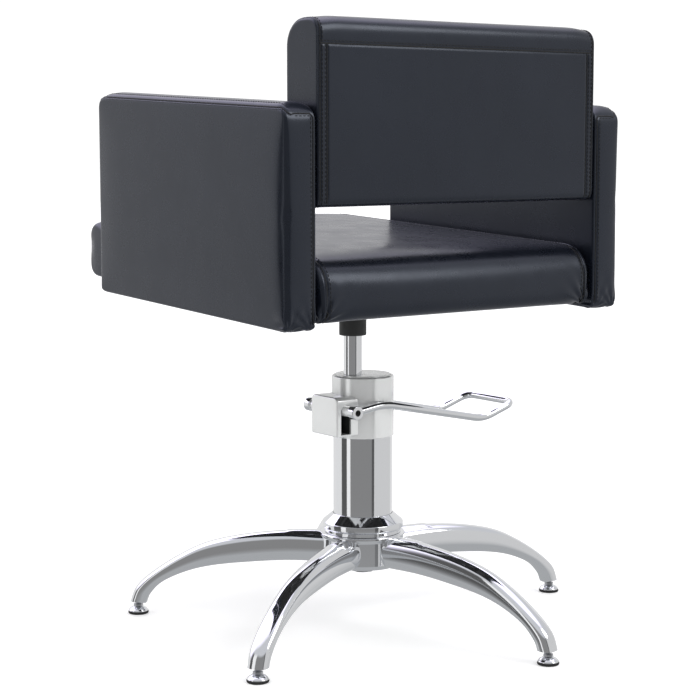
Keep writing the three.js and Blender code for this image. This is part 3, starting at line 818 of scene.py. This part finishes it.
class Slab:
    """A padded slab: an outline in the (Y, Z) plane carried along X, as one even grid.

    corners are (y, z, radius), in the order low rear, top rear, top front, low front.
    Each side of the outline is split halfway round its corners, so that the two flat
    ends are plain grids too and the whole skin is quads of about the same size.
    """

    ARC_STEPS = 4

    def __init__(self, corners, x0, x1, cell, edge0, edge1, stops=(), lines=()):
        self.x0, self.x1 = x0, x1
        sides = self.split_outline(corners)
        lengths = [self.length(s) for s in sides]
        tall = max(6, round(max(lengths[0], lengths[2]) / cell))
        deep = max(6, round(max(lengths[1], lengths[3]) / cell))
        counts = (tall, deep, tall, deep)
        self.sides = [resample(s, n + 1, stops if i == 0 else ())
                      for i, (s, n) in enumerate(zip(sides, counts))]
        self.tall, self.deep = tall, deep
        self.loop = np.vstack([s[:-1] for s in self.sides])
        self.normals = self.inward_normals()
        self.edge0 = self.edge_radii(edge0)
        self.edge1 = self.edge_radii(edge1)
        self.ticks = self.across_ticks(cell, lines)

    @staticmethod
    def length(points):
        return float(np.sum(np.linalg.norm(np.diff(np.array(points), axis=0), axis=1)))

    @staticmethod
    def split_outline(corners):
        """Four sides, rear, top, front and underside, each from mid-corner to mid-corner."""
        arcs = []
        for i, (y, z, radius) in enumerate(corners):
            before, after = corners[i - 1][:2], corners[(i + 1) % 4][:2]
            arcs.append(corner_arc(before, (y, z), after, radius, 17))
        return [arcs[i][8:] + arcs[(i + 1) % 4][:9] for i in range(4)]

    def inward_normals(self):
        ahead, behind = np.roll(self.loop, -1, axis=0), np.roll(self.loop, 1, axis=0)
        along = ahead - behind
        normals = np.stack([-along[:, 1], along[:, 0]], axis=1)
        normals /= np.linalg.norm(normals, axis=1)[:, None]
        inside = self.loop.mean(axis=0) - self.loop
        return normals * np.sign((normals * inside).sum(axis=1).mean())

    def edge_radii(self, edge):
        """A rounding for each point of the outline, from (rear, top, front, underside)."""
        if np.isscalar(edge):
            return np.full(len(self.loop), edge)
        radii = np.concatenate([np.full(n, r) for n, r in zip(
            (self.tall, self.deep, self.tall, self.deep), edge)])
        for _ in range(4):
            radii = (np.roll(radii, 1) + 2 * radii + np.roll(radii, -1)) / 4
        return radii

    def across_ticks(self, cell, lines):
        """Steps across X from 0 to 1, with tight rows beside each seam line."""
        width = self.x1 - self.x0
        ticks = list(np.linspace(0, 1, max(4, round(width / cell)) + 1))
        for line in lines:
            t = line / width
            gap = SEAM_GAP / width
            ticks = [k for k in ticks if abs(k - t) > 1.7 * gap or k in (0, 1)]
            ticks += [t - gap, t, t + gap]
        return sorted(ticks)

    def rows(self):
        """Closed rings of points from the x0 end to the x1 end."""
        rings = []
        steps = [math.pi / 2 * k / self.ARC_STEPS for k in range(self.ARC_STEPS)]

        def ring(x, inset):
            flat = self.loop + self.normals * inset[:, None]
            return np.column_stack([x, flat])

        for a in steps:
            rings.append(ring(self.x0 + self.edge0 * (1 - math.cos(a)),
                              self.edge0 * (1 - math.sin(a))))
        zero = np.zeros(len(self.loop))
        start, end = self.x0 + self.edge0, self.x1 - self.edge1
        for t in self.ticks:
            flat_x = self.x0 + t * (self.x1 - self.x0)
            rings.append(ring(np.clip(flat_x, start, end), zero))
        for a in reversed(steps):
            rings.append(ring(self.x1 - self.edge1 * (1 - math.cos(a)),
                              self.edge1 * (1 - math.sin(a))))
        return rings

    def end_grid(self, ring):
        """The flat end inside a ring, as a grid blended from its four sides."""
        tall, deep = self.tall, self.deep
        closed = np.vstack([ring, ring[:1]])
        rear = closed[0:tall + 1]
        top = closed[tall:tall + deep + 1]
        front = closed[tall + deep:2 * tall + deep + 1][::-1]
        under = closed[2 * tall + deep:][::-1]
        u = np.linspace(0, 1, deep + 1)[None, :, None]
        v = np.linspace(0, 1, tall + 1)[:, None, None]
        grid = (1 - u) * rear[:, None] + u * front[:, None] \
            + (1 - v) * under[None, :] + v * top[None, :] \
            - ((1 - u) * (1 - v) * rear[0] + u * (1 - v) * front[0]
               + (1 - u) * v * rear[-1] + u * v * front[-1])
        return grid

    def build(self, name):
        rings = self.rows()
        size = len(self.loop)
        verts = [p for ring in rings for p in ring]
        faces = []
        for i in range(len(rings) - 1):
            for k in range(size):
                n = (k + 1) % size
                faces.append((i * size + k, i * size + n,
                              (i + 1) * size + n, (i + 1) * size + k))
        for ring in (rings[0], rings[-1]):
            grid = self.end_grid(ring)
            base = len(verts)
            verts += list(grid.reshape(-1, 3))
            wide = self.deep + 1
            for v in range(self.tall):
                for u in range(self.deep):
                    a = base + v * wide + u
                    faces.append((a, a + 1, a + wide + 1, a + wide))
        obj = make_object(name, verts, faces)
        tidy_mesh(obj.data, 0.05 * MM, math.pi)
        return obj


def coordinates_of(obj):
    flat = np.empty(len(obj.data.vertices) * 3)
    obj.data.vertices.foreach_get("co", flat)
    return flat.reshape(-1, 3)


def set_coordinates(obj, points):
    obj.data.vertices.foreach_set("co", points.ravel())
    obj.data.update()


def vertex_normals(obj):
    flat = np.empty(len(obj.data.vertices) * 3)
    obj.data.vertex_normals.foreach_get("vector", flat)
    return flat.reshape(-1, 3)


CLOTH_FRAMES = 18
CLOTH_STIFFNESS = 25


def puff(obj, held, pressure, limit):
    """Swells a cover with a cloth simulation. held is each point's hold, 0 free to 1 fixed,
    and limit is the furthest that a point may move along each axis."""
    rest = coordinates_of(obj)
    group = obj.vertex_groups.new(name="held")
    for index, weight in enumerate(held):
        if weight > 0:
            group.add([index], float(weight), "REPLACE")
    modifier = obj.modifiers.new("cloth", "CLOTH")
    cloth = modifier.settings
    cloth.vertex_group_mass = "held"
    cloth.use_pressure = True
    cloth.uniform_pressure_force = pressure
    cloth.tension_stiffness = CLOTH_STIFFNESS
    cloth.compression_stiffness = CLOTH_STIFFNESS
    cloth.bending_stiffness = 0.6
    cloth.mass = 0.35
    cloth.quality = 5
    cloth.effector_weights.gravity = 0
    modifier.collision_settings.use_collision = False
    modifier.point_cache.frame_start = 1
    modifier.point_cache.frame_end = CLOTH_FRAMES
    scene = bpy.context.scene
    for number in range(1, CLOTH_FRAMES + 1):
        scene.frame_set(number)
    apply_modifiers(obj)
    scene.frame_set(1)
    moved = coordinates_of(obj) - rest
    limit = np.array(limit)
    squeezed = limit * np.tanh(moved / limit)
    set_coordinates(obj, rest + squeezed)
    obj.vertex_groups.clear()


def refine(obj, levels=1):
    modifier = obj.modifiers.new("fine", "SUBSURF")
    modifier.levels = levels
    modifier.render_levels = levels
    apply_modifiers(obj)
    tidy_mesh(obj.data, 1e-7, math.pi)


def press_groove(obj, paths, depth, width):
    """Presses the skin in along seam lines."""
    points = coordinates_of(obj)
    normals = vertex_normals(obj)
    line = np.array([p for path in paths for p in path])
    nearest = np.full(len(points), np.inf)
    for start in range(0, len(points), 4000):
        block = points[start:start + 4000]
        gaps = np.linalg.norm(block[:, None] - line[None], axis=2)
        nearest[start:start + 4000] = gaps.min(axis=1)
    sink = depth * np.exp(-(nearest / width) ** 2)
    set_coordinates(obj, points - normals * sink[:, None])


def on_surface(tree, points, lift):
    placed = []
    for point in points:
        spot, normal, _, _ = tree.find_nearest(Vector(point))
        placed.append((spot + normal * lift, normal))
    return placed


def even_points(path, spacing, closed=False):
    path = [Vector(p) for p in path]
    if closed:
        path.append(path[0])
    lengths = [0.0]
    for a, b in zip(path, path[1:]):
        lengths.append(lengths[-1] + (b - a).length)
    count = max(2, round(lengths[-1] / spacing))
    wanted = np.linspace(0, lengths[-1], count + (0 if closed else 1), endpoint=not closed)
    array = np.array([tuple(p) for p in path])
    return np.stack([np.interp(wanted, lengths, array[:, k]) for k in range(3)], axis=1)


def surface_tree(obj):
    obj.data.calc_loop_triangles()
    return BVHTree.FromPolygons([v.co.copy() for v in obj.data.vertices],
                                [tuple(t.vertices) for t in obj.data.loop_triangles])


# Radius of the seam cords, which are painted shade: near-black cords sunk into the seam grooves.
SEAM_SHADE_RADIUS = 0.95 * MM
WELT_RADIUS = 1.1 * MM
STITCH = {"pitch": 5.2 * MM, "length": 3.8 * MM, "radius": 0.5 * MM}


def laid_cords(tree, name, body, paths, radius, lift, material=None):
    """Cords laid along paths on a cover, as one piece."""
    verts, faces = [], []
    for path, closed in paths:
        spots = on_surface(tree, even_points(path, 3 * MM, closed), lift)
        cord = sweep([spot for spot, _ in spots], radius, 10, closed)
        faces += [tuple(i + len(verts) for i in face) for face in cord[1]]
        verts += cord[0]
    dress(make_object(name, verts, faces), body, "faux_leather", material=material)


def sew(cover, name, body, seams, rows, welts=()):
    """Near-black cords of painted shade along `seams`, standing in for the shade in the seam grooves;
    stitches along `rows`, rolled welts along `welts`.
    """
    tree = surface_tree(cover)
    # Painted shade: near-black cords laid in the seam grooves darken them as the grooves' shade would.
    laid_cords(tree, f"{name}_seams", body, seams, SEAM_SHADE_RADIUS, -0.1 * MM, THREAD_AND_SEAM_SHADE)
    if welts:
        laid_cords(tree, f"{name}_welts", body, welts, WELT_RADIUS, -0.35 * MM)
    verts, faces = [], []
    for path, closed in rows:
        places = even_points(path, STITCH["pitch"], closed)
        for a, b in zip(places, places[1:]):
            centre, along = (a + b) / 2, (b - a) / np.linalg.norm(b - a)
            ends = [centre + along * STITCH["length"] * s for s in (-0.5, -0.25, 0, 0.25, 0.5)]
            spots = on_surface(tree, ends, 0.2 * MM)
            line = [s - n * STITCH["radius"] * (1.1 if i in (0, 4) else 0.1)
                    for i, (s, n) in enumerate(spots)]
            stitch = sweep(line, STITCH["radius"], 6)
            faces += [tuple(i + len(verts) for i in face) for face in stitch[1]]
            verts += stitch[0]
    thread = make_object(f"{name}_stitches", verts, faces)
    dress(thread, body, "faux_leather", material=THREAD_AND_SEAM_SHADE)


def slab_outline(front, rear, under_rear, top_rear, radii):
    """Corners of a tilted slab's outline, low rear, top rear, top front, low front."""
    rise = (rear - front) * TILT
    points = [(rear, under_rear), (rear, top_rear),
              (front, top_rear + rise), (front, under_rear + rise)]
    return [(y, z, r) for (y, z), r in zip(points, radii)]


def build_seat():
    lower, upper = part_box("seat_cushion")
    half = (upper.x - lower.x) / 2 - 1.5 * MM
    centre = (upper.x + lower.x) / 2
    x0, x1 = centre - half, centre + half
    depth = upper.y - lower.y
    thick = (upper.z - lower.z) - depth * TILT
    under_rear = lower.z
    front, rear = lower.y - 7 * MM, upper.y - 1 * MM
    corners = slab_outline(front, rear, under_rear, under_rear + thick - 2 * MM,
                           (14 * MM, 40 * MM, 20 * MM, 16 * MM))
    gusset = 11 * MM
    edges = (8 * MM, 8 * MM, 4.5 * MM, 6 * MM)
    slab = Slab(corners, x0, x1, 8.5 * MM, edges, edges,
                lines=(gusset, 2 * half - gusset))
    cover = slab.build("seat_cover")
    points = coordinates_of(cover)
    along = upper.y - points[:, 1]
    height = points[:, 2] - (under_rear + along * TILT)
    from_side = half - np.abs(points[:, 0] - centre)
    held = np.where(height < 6 * MM, 0.98, 0.0)
    held = np.maximum(held, np.exp(-((from_side - gusset) / (3 * MM)) ** 2))
    held[held < 0.15] = 0
    puff(cover, held, 3.2, (3.2 * MM, 8 * MM, 9 * MM))
    seams = [[(x, y, z) for y, z in slab.loop] for x in (x0 + gusset, x1 - gusset)]
    refine(cover, 2)
    press_groove(cover, [even_points(s, 3 * MM, True) for s in seams], 1.6 * MM, 2.6 * MM)
    rucks(cover, x0, x1, upper.y, under_rear, 1.5 * MM)
    rows, welts = [], []
    for seam, side in zip(seams, (1, -1)):
        rows.append(([(x + side * 4.6 * MM, y, z) for x, y, z in seam], True))
        welts.append(([(x - side * 2 * MM, y, z) for x, y, z in seam], True))
    sew(cover, "seat", "chair_top", [(s, True) for s in seams], rows, welts)
    dress(cover, "chair_top", "faux_leather", "seat_cushion")


def rucks(cover, x0, x1, rear, under_rear, height):
    """Small gathers where a cover is pulled round its two lower rear corners."""
    points = coordinates_of(cover)
    normals = vertex_normals(cover)
    for x in (x0, x1):
        inward = 1 if x == x0 else -1
        corner = np.array((x + inward * 6 * MM, rear, under_rear))
        away = points - corner
        reach = np.linalg.norm(away, axis=1)
        angle = np.arctan2(away[:, 2], inward * away[:, 0])
        fade = np.exp(-(reach / (34 * MM)) ** 2) * smoothstep(4 * MM, 12 * MM, reach)
        on_rear = smoothstep(rear - 26 * MM, rear - 10 * MM, points[:, 1])
        wave = np.cos(angle * 13 + 0.6 * inward) * height * fade * on_rear
        points = points + normals * wave[:, None]
    set_coordinates(cover, points)


def build_arm(node, side):
    """side is 1 for the arm on +X. The outer panel folds softly round onto the rear face."""
    lower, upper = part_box(node)
    rear, front = upper.y, lower.y
    depth = rear - front
    top_rear = lower.z + ((upper.z - lower.z) - depth * TILT)
    corners = slab_outline(front, rear, lower.z, top_rear,
                           (6 * MM, 12 * MM, 13 * MM, 4.5 * MM))
    soft, crisp = (4.5 * MM, 4 * MM, 7 * MM, 5 * MM), (3 * MM, 4 * MM, 5 * MM, 4 * MM)
    edges = (crisp, soft) if side > 0 else (soft, crisp)
    slab = Slab(corners, lower.x, upper.x, 8 * MM, *edges)
    cover = slab.build(f"{node}_cover")
    points = coordinates_of(cover)
    outer = upper.x if side > 0 else lower.x
    inner = lower.x if side > 0 else upper.x
    top = top_rear + (rear - points[:, 1]) * TILT
    under = lower.z + (rear - points[:, 1]) * TILT
    to_edge = np.minimum.reduce([top - points[:, 2], points[:, 2] - under,
                                 points[:, 1] - front])
    held = np.where(to_edge < 7 * MM, 0.96, 0.0)
    held = np.maximum(held, np.where(np.abs(points[:, 0] - inner) < 5 * MM, 0.99, 0.0))
    puff(cover, held, 2.2, (3 * MM, 2 * MM, 3 * MM))
    refine(cover)
    crown_arm(cover, lower, upper, rear, front)
    refine(cover)
    rucks(cover, lower.x, upper.x, rear, lower.z, 0.7 * MM)
    out_in = -side  # from the outer face inwards along X
    edge_x = outer + out_in * 3.2 * MM
    top_path = [(edge_x, y, top_rear + (rear - y) * TILT - 0.6 * MM)
                for y in np.linspace(front + 8 * MM, rear - 7 * MM, 40)]
    drop = [(edge_x + out_in * 2 * MM, rear - 3 * MM, top_rear - 3.5 * MM),
            (outer + out_in * 10 * MM, rear, top_rear - 6.5 * MM)]
    across = [(x, rear, top_rear - 5 * MM)
              for x in np.linspace(outer + out_in * 14 * MM, inner - out_in * 7 * MM, 8)]
    down = [(inner - out_in * 4 * MM, rear, z)
            for z in np.linspace(top_rear - 9 * MM, lower.z + 8 * MM, 30)]
    front_down = [(edge_x, front, z) for z in np.linspace(
        top_rear + depth * TILT - 10 * MM, lower.z + depth * TILT + 8 * MM, 30)]
    seam = top_path + drop + across + down
    press_groove(cover, [even_points(seam, 2 * MM), even_points(front_down, 2 * MM)],
                 1.0 * MM, 2.2 * MM)
    above = [(p[0] + out_in * 4.2 * MM, p[1], p[2] + 3 * MM) for p in top_path]
    beside = [(p[0] - out_in * 4 * MM, p[1], p[2]) for p in down]
    below_top = [(p[0], p[1], p[2] - 3.6 * MM) for p in across]
    welt = [(p[0] - out_in * 1.6 * MM, p[1], p[2] - 1.6 * MM) for p in top_path]
    sew(cover, node, "chair_top", [(seam, False), (front_down, False)],
        [(above, False), (beside, False), (below_top, False)], [(welt, False)])
    dress(cover, "chair_top", "faux_leather", node)


def crown_arm(cover, lower, upper, rear, front):
    """Pads the arm's top strip up into a crown between its two long seams."""
    points = coordinates_of(cover)
    depth = rear - front
    top = upper.z - depth * TILT + (rear - points[:, 1]) * TILT
    across = (points[:, 0] - (lower.x + upper.x) / 2) / ((upper.x - lower.x) / 2)
    arch = np.clip(1 - np.abs(across) ** 2.4, 0, 1) ** 0.62
    ends = smoothstep(0, 20 * MM, rear - points[:, 1]) \
        * smoothstep(0, 38 * MM, points[:, 1] - front)
    share = smoothstep(-9 * MM, 0, points[:, 2] - top)
    points[:, 2] += 7 * MM * arch * ends * share
    set_coordinates(cover, points)


def build_back():
    lower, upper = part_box("back_cushion")
    half = (upper.x - lower.x) / 2 - 0.6 * MM
    centre = (upper.x + lower.x) / 2
    x0, x1 = centre - half, centre + half
    corners = [(upper.y - MM, lower.z, 8 * MM), (upper.y - MM, upper.z, 17 * MM),
               (lower.y + MM, upper.z, 32 * MM), (lower.y + MM, lower.z, 14 * MM)]
    top_seam = 30.5 * MM
    total = upper.z - lower.z - 2 * MM
    stops = [total - top_seam - 12 * MM + d for d in (-SEAM_GAP, 0, SEAM_GAP)]
    side_seam, panel_seam = 3.2 * MM, 13.4 * MM
    slab = Slab(corners, x0, x1, 8 * MM, 4 * MM, 4 * MM, stops=stops,
                lines=(panel_seam, 2 * half - panel_seam))
    cover = slab.build("back_cover")
    points = coordinates_of(cover)
    from_side = half - np.abs(points[:, 0] - centre)
    held = np.exp(-((from_side - 4 * MM) / (4 * MM)) ** 2)
    held = np.maximum(held, np.where(from_side < 4 * MM, 0.97, 0))
    on_rear = points[:, 1] > upper.y - 8 * MM
    held = np.maximum(held, np.where(on_rear, 0.9, 0))
    held = np.maximum(held, np.where(points[:, 2] < lower.z + 3 * MM, 0.9, 0))
    held[held < 0.12] = 0
    puff(cover, held, 3.0, (1.4 * MM, 9 * MM, 7 * MM))
    refine(cover, 2)
    droop_ends(cover, centre, half, upper.z)
    rear = upper.y - MM
    seam_z = upper.z - 2 * MM - top_seam
    horizontal = [(x, rear, seam_z) for x in np.linspace(x0 + 3 * MM, x1 - 3 * MM, 60)]
    uprights = [[(x, rear, z) for z in np.linspace(lower.z + 3 * MM, seam_z, 40)]
                for x in (x0 + panel_seam, x1 - panel_seam)]
    loops = [[(x, y, z) for y, z in slab.loop] for x in (x0 + side_seam, x1 - side_seam)]
    grooves = [even_points(path, 2 * MM) for path in (horizontal, *uprights)] \
        + [even_points(loop, 2 * MM, True) for loop in loops]
    press_groove(cover, grooves, 1.1 * MM, 1.9 * MM)
    rows = [([(x, rear, z + 3 * MM) for x, _, z in horizontal], False)]
    welts = []
    for loop, side in zip(loops, (1, -1)):
        rows.append(([(x + side * 3 * MM, y, z) for x, y, z in loop], True))
        welts.append(([(x - side * 1.9 * MM, y, z) for x, y, z in loop], True))
    for upright, side in zip(uprights, (1, -1)):
        rows.append(([(x - side * 3 * MM, y, z) for x, y, z in upright], False))
    sew(cover, "back", "chair_top", [(horizontal, False)] + [(u, False) for u in uprights]
        + [(p, True) for p in loops], rows, welts)
    dress(cover, "chair_top", "faux_leather", "back_cushion", "back_panel")


def droop_ends(cover, centre, half, top):
    """Lets the padding at the ends of the back's top edge sag a little."""
    points = coordinates_of(cover)
    from_side = half - np.abs(points[:, 0] - centre)
    sag = (1 - smoothstep(0, 42 * MM, from_side)) ** 2
    points[:, 2] -= 2.5 * MM * sag * smoothstep(top - 60 * MM, top, points[:, 2])
    set_coordinates(cover, points)


# ---------------------------------------------------------------- frame nodes kept as CAD

def finish_cad_nodes():
    """Every CAD node that still shows gets its slot's procedural material."""
    for part in frame["record"]["subparts"]:
        node = frame["nodes"][part["node"]]
        node.data.materials.clear()
        lined = part["node"] == "seat_board"
        node.data.materials.append(LINING if lined else MATERIALS[part["material_slot"]])


# ---------------------------------------------------------------- stage, light and camera

# The studio as the metal mirrors it, in plain greys, by bearing in degrees from the camera's
# own bearing, positive to the camera's right. Each panel runs from its bearing to the next one:
# pale backdrop, black flag, soft box, the dim room behind the camera, black flag, pale wall.
STUDIO_PANELS = [(-180, 0.8), (-90, 0.1), (-65, 0.95), (-50, 0.25), (35, 0.1), (45, 0.65),
                 (135, 0.8)]
CAMERA = {"yaw": math.radians(37.154), "pitch": math.radians(6.794), "away": 2.4085,
          "height": 0.6578, "aside": -0.01722, "lens": 92.77}


def build_world():
    world = bpy.data.worlds.new("studio")
    bpy.context.scene.world = world
    world.use_nodes = True
    tree = world.node_tree
    tree.nodes.clear()

    def node(kind, **settings):
        made = tree.nodes.new(kind)
        for key, value in settings.items():
            setattr(made, key, value)
        return made

    def math_node(operation, a, b=None):
        made = node("ShaderNodeMath", operation=operation)
        for socket, value in zip(made.inputs, (a, b)):
            if value is None:
                continue
            if isinstance(value, (int, float)):
                socket.default_value = value
            else:
                tree.links.new(value, socket)
        return made.outputs[0]

    where = node("ShaderNodeTexCoord").outputs["Generated"]
    split = node("ShaderNodeSeparateXYZ")
    tree.links.new(where, split.inputs[0])
    # Bearing is 0 towards the camera and grows to the camera's right-hand side.
    camera_bearing = math.atan2(math.cos(CAMERA["yaw"]), math.sin(CAMERA["yaw"]))
    angle = math_node("ARCTAN2", split.outputs["Y"], split.outputs["X"])
    turned = math_node("SUBTRACT", angle, camera_bearing)
    unit = math_node("DIVIDE", turned, TAU)
    wrapped = math_node("FRACT", math_node("ADD", unit, 0.5))
    ramp = node("ShaderNodeValToRGB")
    ramp.color_ramp.interpolation = "CONSTANT"
    stops = ramp.color_ramp.elements
    for index, (bearing, grey) in enumerate(STUDIO_PANELS):
        position = (bearing + 180) / 360
        element = stops[index] if index < 2 else stops.new(position)
        element.position = position
        element.color = (grey, grey, grey, 1)
    tree.links.new(wrapped, ramp.inputs["Fac"])
    walls = ramp.outputs["Color"]
    # High up and low down the walls give way to a pale ceiling and a grey ground.
    for start, end, color in ((0.45, 0.6, (0.62, 0.63, 0.66)), (-0.22, -0.5, (0.42, 0.43, 0.44))):
        fade = node("ShaderNodeMapRange")
        for key, value in (("From Min", start), ("From Max", end), ("To Min", 0),
                           ("To Max", 1)):
            fade.inputs[key].default_value = value
        tree.links.new(split.outputs["Z"], fade.inputs["Value"])
        blend = node("ShaderNodeMix", data_type="RGBA")
        blend.inputs["B"].default_value = (*color, 1)
        tree.links.new(fade.outputs[0], blend.inputs["Factor"])
        tree.links.new(walls, blend.inputs["A"])
        walls = blend.outputs["Result"]
    # A bright overhead bank beyond the chair comes down lowest on the camera's left.
    away = node("ShaderNodeVectorMath", operation="DOT_PRODUCT")
    tree.links.new(where, away.inputs[0])
    away.inputs[1].default_value = (-math.cos(camera_bearing), -math.sin(camera_bearing), 0)
    beyond = node("ShaderNodeMapRange")
    raised = node("ShaderNodeMapRange")
    for fade, start, end in ((beyond, -0.25, 0.2), (raised, 0.5, 0.7)):
        fade.inputs["From Min"].default_value = start
        fade.inputs["From Max"].default_value = end
    tree.links.new(away.outputs["Value"], beyond.inputs["Value"])
    lean = node("ShaderNodeVectorMath", operation="DOT_PRODUCT")
    tree.links.new(where, lean.inputs[0])
    tilt = 0.35
    lean.inputs[1].default_value = (tilt * math.sin(camera_bearing),
                                    -tilt * math.cos(camera_bearing), 1)
    tree.links.new(lean.outputs["Value"], raised.inputs["Value"])
    bank = node("ShaderNodeMix", data_type="RGBA")
    bank.inputs["B"].default_value = (2.1, 2.0, 2.4, 1)
    tree.links.new(math_node("MULTIPLY", beyond.outputs[0], raised.outputs[0]),
                   bank.inputs["Factor"])
    tree.links.new(walls, bank.inputs["A"])
    mirrored = node("ShaderNodeBackground")
    tree.links.new(bank.outputs["Result"], mirrored.inputs["Color"])
    # Only reflections see the panels and the bank. The light itself is even and white.
    plain = node("ShaderNodeBackground")
    plain.inputs["Color"].default_value = (1, 1, 1, 1)
    plain.inputs["Strength"].default_value = 1.1
    rays = node("ShaderNodeLightPath")
    choose = node("ShaderNodeMixShader")
    tree.links.new(rays.outputs["Is Glossy Ray"], choose.inputs["Fac"])
    tree.links.new(plain.outputs[0], choose.inputs[1])
    tree.links.new(mirrored.outputs[0], choose.inputs[2])
    out = node("ShaderNodeOutputWorld")
    tree.links.new(choose.outputs[0], out.inputs["Surface"])


def build_floor():
    """A pale floor, just under the feet. Reflections don't see it."""
    mesh = bpy.data.meshes.new("floor")
    reach = 14
    mesh.from_pydata([(-reach, -reach, 0), (reach, -reach, 0), (reach, reach, 0),
                      (-reach, reach, 0)], [], [(0, 1, 2, 3)])
    floor = add_object("floor", mesh)
    material = new_material("floor", (0.96, 0.96, 0.96), 0.6,
                            Emission_Color=(1, 1, 1, 1), Emission_Strength=0.25)
    cloud = noise(material, coordinates(material), 3.0)
    set_roughness(material, remap(material, cloud, 0.55, 0.7))
    mesh.materials.append(material)
    floor.location.z = -0.0004
    floor.visible_glossy = False


def build_key_light():
    data = bpy.data.lights.new("key", "AREA")
    data.shape = "DISK"
    data.size = 1.8
    data.energy = 30
    lamp = add_object("key", data)
    lamp.location = (-1.5, 2.6, 2.6)
    aim = Vector((0, 0, 0.4)) - lamp.location
    lamp.rotation_euler = aim.to_track_quat("-Z", "Y").to_euler()


def build_camera():
    yaw, pitch = CAMERA["yaw"], CAMERA["pitch"]
    right = Vector((-math.cos(yaw), math.sin(yaw), 0))
    back = Vector((math.sin(yaw), math.cos(yaw), 0))
    foot = Vector((COLUMN.x, COLUMN.y, 0))
    data = bpy.data.cameras.new("camera")
    data.lens = CAMERA["lens"]
    data.sensor_width = 36
    camera = add_object("camera", data)
    camera.location = foot + right * CAMERA["aside"] + back * CAMERA["away"] \
        + Vector((0, 0, CAMERA["height"]))
    aim = -back * math.cos(pitch) - Vector((0, 0, math.sin(pitch)))
    camera.rotation_euler = aim.to_track_quat("-Z", "Y").to_euler()
    bpy.context.scene.camera = camera


# ---------------------------------------------------------------- the scene

bpy.context.scene.view_settings.view_transform = "Standard"
finish_cad_nodes()
build_camera()
build_world()
build_floor()
build_key_light()
build_hub()
build_legs()
build_feet()
build_cylinder()
build_head()
build_head_top()
build_rod()
build_pedal()
build_spring()
build_seat()
build_arm("arm_left", 1)
build_arm("arm_right", -1)
build_back()
